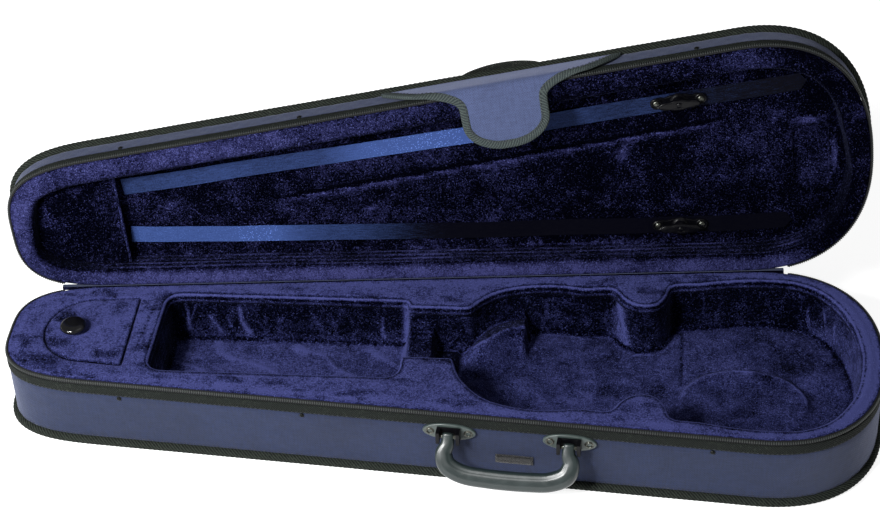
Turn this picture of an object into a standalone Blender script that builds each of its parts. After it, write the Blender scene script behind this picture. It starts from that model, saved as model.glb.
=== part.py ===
"""Soft violin case, dart shaped, full size, standing open.

A tapered base tub and a shallower lid are joined along the back edge by a
canvas hinge.  Both tubs are stiff shells in blue canvas with herringbone
binding, and both hold a moulded plush insert.  A zip runs round the rim, a
canvas flap folds over the front, and a moulded handle hangs on the front wall.

Frame: +X along the case towards the wide end, +Y towards the hinge, +Z up,
origin at the centre of the base's underside.  Lengths below are millimetres.
"""
import math

import bpy
import bmesh
import numpy as np
from mathutils import Matrix, Vector

for _old in list(bpy.data.objects):
    bpy.data.objects.remove(_old, do_unlink=True)

MM = 0.001
GAP = 0.3                      # clearance between pieces that touch

# ---------------------------------------------------------------- outline
LENGTH = 806.0                 # outer length of the rim outline
NARROW_HALF = 61.9             # half width the straight sides reach at the narrow tip
WIDE_HALF = 127.9              # half width the straight sides reach at the wide tip
NARROW_END = 94.3              # length of the rounded narrow end
NARROW_POWER = 3.24            # squareness of the narrow end
WIDE_END = 121.7               # length of the rounded wide end
WIDE_POWER = 2.3               # squareness of the wide end
OUTLINE_POINTS = 48

# ---------------------------------------------------------------- heights
BASE_RIM = 78.0                # rim plane where base and lid meet
LID_DEPTH = 37.9               # rim plane to the lid's flat top
PIPING = 4.5                   # radius of the binding cord round both flat faces
CANVAS = 1.2                   # thickness of the covering canvas
WALL_IN = 1.5                  # shell's outer face, in from the canvas face
WALL = 5.0                     # shell wall thickness
OPEN_ANGLE = 96.66             # lid angle with the case standing open
BINDING_BASE = (61.8, 72.3)    # heights of the herringbone band on the base
BINDING_LID = (5.2, 12.0)      # the same band on the lid, above the rim plane

# ---------------------------------------------------------------- front fittings
FITTING_X = 70.0               # handle, flap and grab strap are centred here
HANDLE_Z = 57.0                # height of the handle's pivot line
HANDLE_SPREAD = 54.0           # half distance between the two brackets
HANDLE_OUT = 8.2               # pivot line, out from the canvas
HANDLE_TILT = 30.0             # how far the hanging handle stands off the wall
FLAP_REACH = 58.0              # tongue length below the rim line
FLAP_FLARE = 30.0              # tongue's angle from the vertical with the lid open
FLAP_STAND = 6.4               # tongue pivot line, out from the canvas

STRAIGHT_SLOPE = (WIDE_HALF - NARROW_HALF) / LENGTH
TAPER = math.atan(STRAIGHT_SLOPE)
HALF_LENGTH = LENGTH / 2.0


# ================================================================ materials
def material(name, rgb, rough=0.85, metal=0.0):
    mat = bpy.data.materials.new(name)
    mat.use_nodes = True
    shader = next(n for n in mat.node_tree.nodes if n.type == 'BSDF_PRINCIPLED')
    shader.inputs['Base Color'].default_value = (rgb[0], rgb[1], rgb[2], 1.0)
    shader.inputs['Roughness'].default_value = rough
    shader.inputs['Metallic'].default_value = metal
    mat.diffuse_color = (rgb[0], rgb[1], rgb[2], 1.0)
    return mat


CANVAS_BLUE = (0.075, 0.095, 0.21)
FLAP_BLUE = (0.14, 0.18, 0.42)
PLUSH_BLUE = (0.045, 0.040, 0.20)
PLUSH_DARK = (0.030, 0.026, 0.13)
HERRINGBONE = (0.030, 0.036, 0.030)
BLACK_PLASTIC = (0.012, 0.012, 0.014)
HANDLE_GREY = (0.050, 0.062, 0.058)
SHELL_GREY = (0.30, 0.28, 0.25)
SATIN_BLUE = (0.045, 0.075, 0.30)
STEEL = (0.42, 0.42, 0.40)


# ================================================================ outline curve
def half_width(x):
    """Half width of the outline at distance x from the narrow tip."""
    width = NARROW_HALF + STRAIGHT_SLOPE * x
    if x < NARROW_END:
        f = max(0.0, (NARROW_END - x) / NARROW_END)
        width *= max(0.0, 1.0 - f ** NARROW_POWER) ** (1.0 / NARROW_POWER)
    if x > LENGTH - WIDE_END:
        f = min(1.0, (x - (LENGTH - WIDE_END)) / WIDE_END)
        width *= max(0.0, 1.0 - f ** WIDE_POWER) ** (1.0 / WIDE_POWER)
    return width


def dense_outline():
    """Closed outline, counter-clockwise from the middle of the back side."""
    steps = 1400
    xs = [0.5 * LENGTH * (1.0 - math.cos(math.pi * i / steps)) for i in range(steps + 1)]
    back = [(x - HALF_LENGTH, half_width(x)) for x in xs]
    front = [(x, -y) for x, y in back]
    start = min(range(steps + 1), key=lambda i: abs(back[i][0]))
    pts = back[start::-1] + front[1:] + back[-2:start:-1]
    return np.array(pts, float)


_DENSE = dense_outline()
_STEP = np.linalg.norm(np.roll(_DENSE, -1, 0) - _DENSE, axis=1)
_ARC = np.concatenate([[0.0], np.cumsum(_STEP)])
ROUND = float(_ARC[-1])        # length once round the outline


def point_at(s):
    s = s % ROUND
    i = min(int(np.searchsorted(_ARC, s, side='right')) - 1, len(_DENSE) - 1)
    t = (s - _ARC[i]) / max(_STEP[i], 1e-9)
    return _DENSE[i] * (1.0 - t) + _DENSE[(i + 1) % len(_DENSE)] * t


def outward_at(s):
    d = point_at(s + 2.0) - point_at(s - 2.0)
    d = d / np.linalg.norm(d)
    return np.array([d[1], -d[0]])


def offset_at(s, inward):
    """Outline point at arc length s, moved inward by the given distance."""
    return point_at(s) - inward * outward_at(s)


def arc_of(x_world, back):
    """Arc length of the outline point at x on the back or front side."""
    best, where = 1e9, 0.0
    for i in range(len(_DENSE)):
        p = _DENSE[i]
        if (p[1] > 0) == back and abs(p[0] - x_world) < best:
            best, where = abs(p[0] - x_world), float(_ARC[i])
    return where


def spaced(s0, s1, count):
    """Arc lengths between s0 and s1, closer together where the outline turns."""
    n = 2400
    ss = np.linspace(s0, s1, n)
    ang = np.unwrap([math.atan2(*(outward_at(s)[::-1])) for s in ss])
    turn = np.concatenate([[0.0], np.cumsum(np.abs(np.diff(ang)))])
    g = turn / (2.0 * math.pi) + 0.22 * (ss - s0) / ROUND
    return [float(np.interp(v, g, ss)) for v in np.linspace(0.0, g[-1], count)]


# the zip runs round the front between two points on the back; every ring shares its samples
ZIP_START = arc_of(-365.0, True)
ZIP_END = arc_of(322.0, True)
FULL_LOOP = sorted([s for s in spaced(0.0, ROUND, OUTLINE_POINTS + 1)[:-1]
                    if abs(s - ZIP_START) > 3.0 and abs(s - ZIP_END) > 3.0] + [ZIP_START, ZIP_END])
ZIP_RUN = [s for s in FULL_LOOP if ZIP_START <= s <= ZIP_END]


# ================================================================ mesh helpers
def new_object(name, verts, faces, rgb, rough=0.85, metal=0.0, smooth=None):
    """Mesh object from points in millimetres, faces turned outward."""
    mesh = bpy.data.meshes.new(name)
    mesh.from_pydata([(v[0] * MM, v[1] * MM, v[2] * MM) for v in verts], [], faces)
    bm = bmesh.new()
    bm.from_mesh(mesh)
    bmesh.ops.remove_doubles(bm, verts=bm.verts, dist=1e-7)
    bmesh.ops.recalc_face_normals(bm, faces=bm.faces)
    bm.to_mesh(mesh)
    bm.free()
    if smooth:
        mesh.shade_smooth()
        mesh.set_sharp_from_angle(angle=math.radians(smooth))
    mesh.materials.append(material(name + '_finish', rgb, rough, metal))
    obj = bpy.data.objects.new(name, mesh)
    bpy.context.scene.collection.objects.link(obj)
    return obj


def loft(name, rings, rgb, wrap=False, caps=True, **kw):
    """Closed solid through rings of equal length; wrap joins last to first."""
    verts, faces = [], []
    n = len(rings[0])
    for ring in rings:
        verts.extend(ring)
    count = len(rings)
    last = count if wrap else count - 1
    for i in range(last):
        a, b = i * n, ((i + 1) % count) * n
        for j in range(n):
            k = (j + 1) % n
            faces.append((a + j, a + k, b + k, b + j))
    if caps and not wrap:
        faces.append(tuple(reversed(range(n))))
        faces.append(tuple(range((count - 1) * n, count * n)))
    return new_object(name, verts, faces, rgb, **kw)


def outline_ring(inward, z, run=None):
    return [(*offset_at(s, inward), z) for s in (run or FULL_LOOP)]


def band(name, profile, rgb, run=None, **kw):
    """A profile of (inward, z) points carried round the outline."""
    arcs = run or FULL_LOOP
    rings = [[(*offset_at(s, o), z) for o, z in profile] for s in arcs]
    return loft(name, rings, rgb, wrap=run is None, **kw)


def tub(name, profile, rgb, **kw):
    """Outline rings stacked along a profile, closed at both ends."""
    return loft(name, [outline_ring(o, z) for o, z in profile], rgb, **kw)


def box_mesh(name, x0, x1, y0, y1, z0, z1, rgb, **kw):
    verts = [(x, y, z) for x in (x0, x1) for y in (y0, y1) for z in (z0, z1)]
    faces = [(0, 1, 3, 2), (4, 6, 7, 5), (0, 4, 5, 1), (2, 3, 7, 6), (0, 2, 6, 4), (1, 5, 7, 3)]
    return new_object(name, verts, faces, rgb, **kw)


def turned(name, profile, rgb, sides=14, **kw):
    """Solid of revolution about local Z from (radius, z) points, closed on the axis."""
    rings = []
    for r, z in profile:
        rings.append([(r * math.cos(2 * math.pi * i / sides), r * math.sin(2 * math.pi * i / sides), z)
                      for i in range(sides)])
    return loft(name, rings, rgb, **kw)


def rounded_rect(x0, x1, y0, y1, r, per=4):
    pts = []
    for cx, cy, a0 in ((x1 - r, y1 - r, 0), (x0 + r, y1 - r, 90), (x0 + r, y0 + r, 180), (x1 - r, y0 + r, 270)):
        for i in range(per + 1):
            a = math.radians(a0 + 90.0 * i / per)
            pts.append((cx + r * math.cos(a), cy + r * math.sin(a)))
    return pts


def prism(name, loop_low, z_low, loop_high, z_high, rgb, **kw):
    return loft(name, [[(x, y, z_low) for x, y in loop_low], [(x, y, z_high) for x, y in loop_high]], rgb, **kw)


def shrink(loop, d):
    """Loop of (x, y) points moved inward by d along its own normals."""
    p = np.array(loop, float)
    t = np.roll(p, -1, 0) - np.roll(p, 1, 0)
    t /= np.linalg.norm(t, axis=1)[:, None]
    area = 0.5 * float(np.sum(p[:, 0] * np.roll(p[:, 1], -1) - np.roll(p[:, 0], -1) * p[:, 1]))
    n = np.stack([t[:, 1], -t[:, 0]], 1) * (1.0 if area > 0 else -1.0)
    return [tuple(q) for q in p - d * n]


def cutter(obj):
    obj.hide_render = True
    obj.display_type = 'WIRE'
    return obj


def cut(obj, tool, operation='DIFFERENCE'):
    mod = obj.modifiers.new(operation.lower() + '_' + tool.name, 'BOOLEAN')
    mod.operation = operation
    mod.solver = 'EXACT'
    mod.object = tool


def smooth_path(stations, count, tension=0.5):
    """Points along a Catmull-Rom curve through the stations."""
    p = [np.array(s, float) for s in stations]
    p = [2 * p[0] - p[1]] + p + [2 * p[-1] - p[-2]]
    seg = len(p) - 3
    out = []
    for i in range(count):
        g = seg * i / (count - 1)
        k = min(int(g), seg - 1)
        t = g - k
        a, b, c, d = p[k], p[k + 1], p[k + 2], p[k + 3]
        m1, m2 = tension * (c - a), tension * (d - b)
        out.append((2 * t ** 3 - 3 * t ** 2 + 1) * b + (t ** 3 - 2 * t ** 2 + t) * m1
                   + (-2 * t ** 3 + 3 * t ** 2) * c + (t ** 3 - t ** 2) * m2)
    return out


# ================================================================ lid pivot
HINGE_DIR = Vector((math.cos(TAPER), math.sin(TAPER), 0.0))
HINGE_POINT = Vector((0.0, NARROW_HALF + STRAIGHT_SLOPE * HALF_LENGTH - CANVAS / math.cos(TAPER), BASE_RIM))


def empty(name, matrix, parent=None):
    e = bpy.data.objects.new(name, None)
    e.empty_display_size = 0.02
    bpy.context.scene.collection.objects.link(e)
    e.parent = parent
    e.matrix_local = matrix
    return e


def metres(v):
    return Vector((v[0] * MM, v[1] * MM, v[2] * MM))


LID_PIVOT = empty('lid_pivot', Matrix.Translation(metres(HINGE_POINT))
                  @ Matrix.Rotation(-math.radians(OPEN_ANGLE), 4, HINGE_DIR))


def on_lid(obj):
    """The lid's pieces are drawn closed, in case coordinates, and hang on the pivot."""
    obj.parent = LID_PIVOT
    obj.matrix_local = Matrix.Translation(-metres(HINGE_POINT))
    return obj


def front_frame(x, z):
    """Axes on the front wall: along it, up, and outward, with the origin on the canvas."""
    y = -(NARROW_HALF + STRAIGHT_SLOPE * (x + HALF_LENGTH))
    along = Vector((math.cos(TAPER), -math.sin(TAPER), 0.0))
    up = Vector((0.0, 0.0, 1.0))
    out = Vector((-math.sin(TAPER), -math.cos(TAPER), 0.0))
    m = Matrix.Identity(4)
    for i in range(3):
        m[i][0], m[i][1], m[i][2] = along[i], up[i], out[i]
    return Matrix.Translation(metres((x, y, z))) @ m


# ================================================================ base
base_shell = tub('base_shell', [(WALL_IN, 1.5), (WALL_IN, 76.0), (WALL_IN + WALL, 76.0), (WALL_IN + WALL, 1.5 + WALL)],
                 SHELL_GREY, rough=0.9)
base_bottom_cover = tub('base_bottom_cover', [(WALL_IN, 0.0), (WALL_IN, CANVAS)], CANVAS_BLUE, rough=0.95)
base_side_cover = band('base_side_cover', [(0.0, 2 * PIPING + GAP), (0.0, BINDING_BASE[0] - GAP),
                                           (CANVAS, BINDING_BASE[0] - GAP), (CANVAS, 2 * PIPING + GAP)],
                       CANVAS_BLUE, rough=0.95, smooth=35)


def piping_profile(z_low, z_high, flat_low):
    """Half-round cord section standing off the edge, flat against the shell."""
    mid, r = 0.5 * (z_low + z_high), 0.5 * (z_high - z_low)
    pts = [(CANVAS, z_low)]
    for i in range(1, 6):
        a = math.radians(-90 + 30 * i)
        pts.append((-r * math.cos(a) * 1.0, mid + r * math.sin(a) * 0.96))
    pts.append((CANVAS, z_high))
    return pts


base_bottom_piping = band('base_bottom_piping', piping_profile(0.2, 2 * PIPING, True), HERRINGBONE, rough=0.8, smooth=50)
base_binding = band('base_binding', [(-0.7, BINDING_BASE[0] + 0.4), (-0.7, BINDING_BASE[1] - 0.4), (0.1, BINDING_BASE[1]),
                                     (CANVAS, BINDING_BASE[1]), (CANVAS, BINDING_BASE[0]), (0.1, BINDING_BASE[0])],
                    HERRINGBONE, run=ZIP_RUN, rough=0.8)
base_zipper_chain = band('base_zipper_chain', [(CANVAS, 72.6), (0.3, 72.6), (0.3, 73.7), (-1.2, 74.1), (-1.2, 77.0), (0.3, 77.4),
                                               (CANVAS, 77.4)], BLACK_PLASTIC, run=ZIP_RUN, rough=0.4)

# moulded plush insert: the rim flange covers the shell's edge
FLOOR_BODY, FLOOR_SCROLL, FLOOR_NECK, FLOOR_WELL = 24.0, 27.0, 30.0, 24.0
INSERT_OUT = WALL_IN + WALL + GAP
RIM_TOP = BASE_RIM - GAP
base_insert = tub('base_insert', [(INSERT_OUT, 1.5 + WALL + GAP), (INSERT_OUT, 76.0 + GAP), (WALL_IN + 0.1, 76.0 + GAP),
                                  (WALL_IN + 0.1, RIM_TOP - 0.6), (WALL_IN + 0.8, RIM_TOP)],
                  PLUSH_BLUE, rough=1.0)

# body cavity: half widths at stations along the case, neck end to tail end
BODY_STATIONS = [(13, 19), (20, 42), (30, 58), (44, 72), (60, 80), (84, 85.5), (108, 86), (130, 83), (148, 85), (158, 84),
                 (167, 71), (177, 63), (189, 61), (200, 65), (208, 78), (213, 92), (238, 95.5), (268, 101), (298, 103.5),
                 (326, 101.5), (348, 91), (364, 73), (376, 48), (382, 22), (384, 0)]


def body_half(x):
    """Half width of the body cavity at x."""
    xs = [s[0] for s in BODY_STATIONS]
    if x <= xs[0]:
        return BODY_STATIONS[0][1]
    if x >= xs[-1]:
        return 0.0
    return float(np.interp(x, xs, [s[1] for s in BODY_STATIONS]))


def body_loop(inset=0.0):
    side = smooth_path(BODY_STATIONS, 43)
    pts = [(p[0], -p[1]) for p in side] + [(p[0], p[1]) for p in side[-2::-1]]
    return shrink(pts, inset) if inset else pts


body_tool = cutter(prism('cut_body', body_loop(2.5), FLOOR_BODY, body_loop(-0.05), 90.0, PLUSH_BLUE))
scroll_tool = cutter(prism('cut_scroll', rounded_rect(-260.5, -38, -45, 54, 11), FLOOR_SCROLL,
                           rounded_rect(-264.5, -34.5, -49, 58.5, 13), 90.0, PLUSH_BLUE))
neck_tool = cutter(box_mesh('cut_neck', -44.0, 24.0, -20.0, 50.0, FLOOR_NECK, 90.0, PLUSH_BLUE))


def well_loop(grow):
    """Accessory well outline: straight at the hinge side, rounded at the narrow end."""
    x1, half, mid = -294.5 + grow, 43.5 + grow, 3.0
    pts = [(x1, mid - half), (x1, mid + half)]
    for i in range(9):
        a = math.radians(90.0 * i / 8.0)
        pts.append((-328.0 - (38.0 + grow) * math.sin(a), mid + (half - 4.0) * math.cos(a) + 0.0))
    for i in range(7, -1, -1):
        a = math.radians(90.0 * i / 8.0)
        pts.append((-328.0 - (38.0 + grow) * math.sin(a), mid - (half - 4.0) * math.cos(a)))
    return pts


LEDGE = 73.4
well_tool = cutter(prism('cut_well', well_loop(0.0), FLOOR_WELL, well_loop(0.0), 90.0, PLUSH_BLUE))
ledge_tool = cutter(prism('cut_ledge', well_loop(5.0), LEDGE, well_loop(5.0), 91.0, PLUSH_BLUE))
for tool in (body_tool, scroll_tool, neck_tool, well_tool, ledge_tool):
    cut(base_insert, tool)

# neck rest: a plush saddle block that fills the mouth of the neck channel
rest_side = [(-19.7, 30.3), (49.7, 30.3), (49.7, 54.0), (38.0, 53.0), (27.0, 49.0), (15.0, 47.2), (3.0, 49.0), (-8.0, 53.0),
             (-19.7, 54.0)]
neck_rest = loft('neck_rest', [[(-33.0, y, z) for y, z in rest_side], [(-10.0, y, z) for y, z in rest_side]],
                 PLUSH_BLUE, rough=1.0)


def shoulder_pad(name, sign):
    """Crescent ledge along one shoulder of the upper bout."""
    outer = sorted((x, y) for x, y in body_loop(3.2) if y > 0.0 and 19.0 <= x <= 78.0)
    inner = []
    last = len(outer) - 1
    for i, (x, y) in enumerate(outer):
        w = 2.0 + 15.0 * math.sin(math.pi * min(1.0, (i + 0.8) / 5.0) / 2.0)
        d = np.array(outer[min(i + 1, last)]) - np.array(outer[max(i - 1, 0)])
        d = d / np.linalg.norm(d)
        inner.append((x + w * d[1], y - w * d[0]))
    loop = [(x, sign * y) for x, y in outer + inner[::-1]]
    return prism(name, loop, FLOOR_BODY + GAP, shrink(loop, 0.8), 47.0, PLUSH_BLUE, rough=1.0)


upper_bout_pad_back = shoulder_pad('upper_bout_pad_back', 1.0)
upper_bout_pad_front = shoulder_pad('upper_bout_pad_front', -1.0)
pad_loop = [(280.0 + 61.0 * math.cos(2 * math.pi * i / 32), -14.0 + 45.0 * math.sin(2 * math.pi * i / 32)) for i in range(32)]
lower_bout_pad = loft('lower_bout_pad', [[(x, y, FLOOR_BODY + GAP) for x, y in pad_loop],
                                         [(x, y, FLOOR_BODY + 4.0) for x, y in pad_loop],
                                         [(x, y, FLOOR_BODY + 7.0) for x, y in shrink(pad_loop, 3.0)]],
                      PLUSH_BLUE, rough=1.0)

# accessory compartment lid, hinged along its wide side, with a round knob
ACC_HINGE = Vector((-289.2, 3.0, RIM_TOP))
acc_pivot = empty('accessory_lid_pivot', Matrix.Translation(metres(ACC_HINGE)))
accessory_lid = prism('accessory_lid', well_loop(4.5), LEDGE + GAP, well_loop(4.5), RIM_TOP, PLUSH_BLUE, rough=1.0)
accessory_knob = turned('accessory_knob', [(7.5, RIM_TOP + GAP), (7.5, RIM_TOP + 2.0), (11.0, RIM_TOP + 3.4), (12.4, RIM_TOP + 5.6),
                                           (11.4, RIM_TOP + 7.8), (8.0, RIM_TOP + 9.0), (3.0, RIM_TOP + 9.5)],
                        BLACK_PLASTIC, sides=20, rough=0.12, smooth=40)
for piece in (accessory_lid, accessory_knob):
    piece.parent = acc_pivot
    piece.matrix_local = Matrix.Translation(-metres(ACC_HINGE))
accessory_knob.matrix_local = Matrix.Translation(metres(Vector((-343.0, 1.0, 0.0)) - ACC_HINGE))

# ================================================================ handle
def stadium(cx, cy, half_len, radius, per=7):
    pts = []
    for i in range(per + 1):
        a = math.radians(-90 + 180.0 * i / per)
        pts.append((cx + half_len - radius + radius * math.cos(a), cy + radius * math.sin(a)))
    for i in range(per + 1):
        a = math.radians(90 + 180.0 * i / per)
        pts.append((cx - half_len + radius + radius * math.cos(a), cy + radius * math.sin(a)))
    return pts


HANDLE_FRAME = front_frame(FITTING_X, HANDLE_Z)


def dome(name, r, height, rgb, base=0.0, sides=12, **kw):
    prof = [(r, base), (r, base + 0.25 * height), (r * 0.86, base + 0.66 * height), (r * 0.5, base + 0.93 * height),
            (r * 0.16, base + height)]
    return turned(name, prof, rgb, sides=sides, **kw)


for side, sign in (('left', -1.0), ('right', 1.0)):
    cu = sign * HANDLE_SPREAD
    plate = stadium(cu, 0.0, 24.0, 9.0)
    bracket = loft('handle_bracket_' + side, [[(u, v, 1.0) for u, v in plate], [(u, v, 2.5) for u, v in plate],
                                              [(u, v, 3.1) for u, v in shrink(plate, 0.7)]],
                   HANDLE_GREY, rough=0.35, metal=0.2)
    bracket.matrix_world = HANDLE_FRAME
    # clevis: a back web and two cheeks with a round hole for the handle's trunnion
    clevis = box_mesh('handle_clevis_' + side, cu - 10.6, cu + 10.6, -6.2, 6.2, 3.4, 12.6, BLACK_PLASTIC, rough=0.4)
    slot = cutter(box_mesh('cut_clevis_slot_' + side, cu - 7.5, cu + 7.5, -20.0, 20.0, 4.3, 30.0, BLACK_PLASTIC))
    hole = cutter(turned('cut_clevis_hole_' + side, [(2.3, -14.0), (2.3, 14.0)], BLACK_PLASTIC, sides=12))
    hole.matrix_world = HANDLE_FRAME @ Matrix.Translation(metres((cu, 0.0, HANDLE_OUT))) @ Matrix.Rotation(math.pi / 2, 4, 'Y')
    for tool in (slot, hole):
        cut(clevis, tool)
    clevis.matrix_world = HANDLE_FRAME
    slot.matrix_world = HANDLE_FRAME
    for k, du in enumerate((-17.5, 17.5)):
        rivet = dome('handle_rivet_%s_%d' % (side, k + 1), 3.4, 1.25, STEEL, base=3.4, rough=0.3, metal=0.9, smooth=40)
        rivet.matrix_world = HANDLE_FRAME @ Matrix.Translation(metres((cu + du, 0.0, 0.0)))

# handle grip: one moulded bow, its ends carrying trunnions in the clevises
handle_pivot = empty('handle_pivot', HANDLE_FRAME @ Matrix.Translation(metres((0.0, 0.0, HANDLE_OUT)))
                     @ Matrix.Rotation(-math.radians(HANDLE_TILT), 4, 'X'))
BOW = [(-54.0, 1.6), (-54.2, -7.0), (-57.0, -16.0), (-52.5, -27.0), (-38.0, -33.5), (-18.0, -35.2), (0.0, -35.6),
       (18.0, -35.2), (38.0, -33.5), (52.5, -27.0), (57.0, -16.0), (54.2, -7.0), (54.0, 1.6)]


def grip_sections(path, count):
    pts = smooth_path(path, count)
    rings = []
    for i, p in enumerate(pts):
        a, b = pts[max(i - 1, 0)], pts[min(i + 1, count - 1)]
        d = (b - a) / np.linalg.norm(b - a)
        side = np.array([d[1], -d[0]])
        g = min(i, count - 1 - i) / ((count - 1) / 2.0)
        wide = 5.2 + 3.4 * min(1.0, g * 1.9)      # half width across the bow
        deep = 3.1 + 2.4 * min(1.0, g * 1.9)      # half depth off the wall
        ring = []
        for k in range(12):
            t = 2 * math.pi * k / 12
            c, s = math.cos(t), math.sin(t)
            u = math.copysign(abs(c) ** 0.75, c) * wide
            w = math.copysign(abs(s) ** 0.75, s) * deep
            ring.append((p[0] + side[0] * u, p[1] + side[1] * u, w))
        rings.append(ring)
    return rings


handle_grip = loft('handle_grip', grip_sections(BOW, 31), HANDLE_GREY, rough=0.3, smooth=45)
for side, sign in (('left', -1.0), ('right', 1.0)):
    trunnion = cutter(turned('join_trunnion_' + side, [(1.95, -10.2), (1.95, 10.2)], HANDLE_GREY, sides=12))
    trunnion.parent = handle_pivot
    trunnion.matrix_local = Matrix.Translation(metres((sign * HANDLE_SPREAD, 0.0, 0.0))) @ Matrix.Rotation(math.pi / 2, 4, 'Y')
    cut(handle_grip, trunnion, 'UNION')
handle_grip.parent = handle_pivot
handle_grip.matrix_local = Matrix.Identity(4)

# hook patch under the flap's tip, and nail heads below the binding
hook_patch = box_mesh('hook_patch', -17.0, 17.0, -4.5, 4.5, GAP, 2.0, BLACK_PLASTIC, rough=1.0)
hook_patch.matrix_world = front_frame(FITTING_X + 4.0, 29.0)
STUD_X = (-288.0, -118.0, 249.0)
for k, x in enumerate(STUD_X):
    stud = dome('base_stud_%d' % (k + 1), 2.0, 1.1, STEEL, base=GAP, sides=10, rough=0.3, metal=0.9, smooth=40)
    stud.matrix_world = front_frame(x, BINDING_BASE[0] - 2.8)

# ================================================================ zip sliders with pull tabs, parked at the back corners
for tag, x in (('narrow', -358.5), ('wide', 314.5)):
    s = arc_of(x, True)
    p, n = point_at(s), outward_at(s)
    m = Matrix.Identity(4)
    along = Vector((n[1], -n[0], 0.0))
    up = Vector((0.0, 0.0, 1.0))
    out = Vector((n[0], n[1], 0.0))
    if along.cross(up).dot(out) < 0:
        along = -along
    for i in range(3):
        m[i][0], m[i][1], m[i][2] = along[i], up[i], out[i]
    frame = Matrix.Translation(metres((p[0], p[1], 69.0))) @ m
    body = [(-3.6, -5.5), (3.6, -5.5), (4.4, 1.5), (3.4, 5.5), (-3.4, 5.5), (-4.4, 1.5)]
    slider = loft('zipper_slider_' + tag, [[(u, v, -0.9) for u, v in body], [(u, v, 3.0) for u, v in body],
                                           [(u, v, 3.8) for u, v in shrink(body, 0.8)]],
                  STEEL, rough=0.35, metal=0.9)
    # a bail arched over the tab's bar, so that the tab hangs in it like a chain link
    side = [(-2.5, 3.5), (-2.5, 6.1), (-1.5, 7.6), (1.5, 7.6), (2.5, 6.1), (2.5, 3.5), (1.5, 3.5), (1.5, 6.0), (1.1, 6.6),
            (-1.1, 6.6), (-1.5, 6.0), (-1.5, 3.5)]
    bail = cutter(loft('bail_' + tag, [[(-0.8, v, w) for v, w in side], [(0.8, v, w) for v, w in side]], STEEL))
    cut(slider, bail, 'UNION')
    slider.matrix_world = frame
    bail.matrix_world = frame
    tab_pivot = empty('pull_tab_pivot_' + tag, frame @ Matrix.Translation(metres((0.0, 0.0, 5.3))))
    tab = loft('pull_tab_' + tag, [[(u, v, -0.6) for u, v in rounded_rect(-3.0, 3.0, -24.0, 0.7, 0.6, 2)],
                                   [(u, v, 0.6) for u, v in rounded_rect(-3.0, 3.0, -24.0, 0.7, 0.6, 2)]],
               STEEL, rough=0.35, metal=0.9)
    window = cutter(box_mesh('cut_window_' + tag, -1.6, 1.6, -3.3, -0.7, -2.0, 2.0, STEEL))
    cut(tab, window)
    for piece in (tab, window):
        piece.parent = tab_pivot
        piece.matrix_local = Matrix.Identity(4)

# ================================================================ lid
R = BASE_RIM
TOP = R + LID_DEPTH
lid_shell = on_lid(tub('lid_shell', [(WALL_IN, TOP - 1.5), (WALL_IN, R + 2.0), (WALL_IN + WALL, R + 2.0),
                                     (WALL_IN + WALL, TOP - 1.5 - WALL)], SHELL_GREY, rough=0.9))
lid_top_cover = on_lid(tub('lid_top_cover', [(WALL_IN, TOP - CANVAS), (WALL_IN, TOP)], CANVAS_BLUE, rough=0.95))
lid_side_cover = on_lid(band('lid_side_cover', [(0.0, R + BINDING_LID[1] + GAP), (0.0, TOP - 2 * PIPING - GAP),
                                                (CANVAS, TOP - 2 * PIPING - GAP), (CANVAS, R + BINDING_LID[1] + GAP)],
                             CANVAS_BLUE, rough=0.95, smooth=35))
lid_top_piping = on_lid(band('lid_top_piping', piping_profile(TOP - 2 * PIPING, TOP - 0.2, False), HERRINGBONE,
                             rough=0.8, smooth=50))
lid_binding = on_lid(band('lid_binding', [(-0.7, R + BINDING_LID[0] + 0.4), (-0.7, R + BINDING_LID[1] - 0.4),
                                          (0.1, R + BINDING_LID[1]), (CANVAS, R + BINDING_LID[1]),
                                          (CANVAS, R + BINDING_LID[0]), (0.1, R + BINDING_LID[0])],
                          HERRINGBONE, run=ZIP_RUN, rough=0.8))
lid_zipper_chain = on_lid(band('lid_zipper_chain', [(CANVAS, R + 0.6), (0.3, R + 0.6), (-1.2, R + 1.0), (-1.2, R + 3.9),
                                                    (0.3, R + 4.3), (0.3, R + 4.9), (CANVAS, R + 4.9)],
                               BLACK_PLASTIC, run=ZIP_RUN, rough=0.4))

# moulded plush lining of the lid: a wide rolled rim and sloping walls round a flat panel
CEILING = R + 26.0
LINING_BACK = TOP - 1.5 - WALL - GAP



def front_extra(s):
    """The lining's rim is wider along the front than along the hinge."""
    return 6.5 * min(1.0, max(0.0, (25.0 - point_at(s)[1]) / 50.0))


def lining_ring(inset, z):
    if inset < 10.0:
        return outline_ring(inset, z)
    return [(*offset_at(s, inset + front_extra(s)), z) for s in FULL_LOOP]


LINING_PROFILE = [(INSERT_OUT, LINING_BACK), (INSERT_OUT, R + 2.0 - GAP), (WALL_IN + 0.1, R + 2.0 - GAP),
                  (WALL_IN + 0.1, R + GAP + 0.5), (WALL_IN + 0.8, R + GAP), (15.5, R + GAP), (17.5, R + 2.0), (20.0, CEILING)]
lid_lining = on_lid(loft('lid_lining', [lining_ring(o, z) for o, z in LINING_PROFILE], PLUSH_DARK, rough=1.0))
recess = cutter(prism('cut_recess', rounded_rect(333, 368, -20, 44, 3, 2), R - 20.0, rounded_rect(334, 367, -19, 43, 3, 2),
                      CEILING + 3.0, PLUSH_DARK))
on_lid(recess)
cut(lid_lining, recess)

# bow-tip pocket: a stretched plush panel across the narrow end
POCKET_EDGE = -301.0


def pocket_ring(z, inset):
    """Outline of the narrow end up to the pocket's open edge."""
    back_s, front_s = arc_of(POCKET_EDGE, True), arc_of(POCKET_EDGE, False)
    pts = [offset_at(s, inset + front_extra(s)) for s in [back_s] + [s for s in FULL_LOOP if back_s < s < front_s] + [front_s]]
    pts[0][0] = POCKET_EDGE
    pts[-1][0] = POCKET_EDGE
    return [(p[0], p[1], z) for p in pts]


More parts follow.
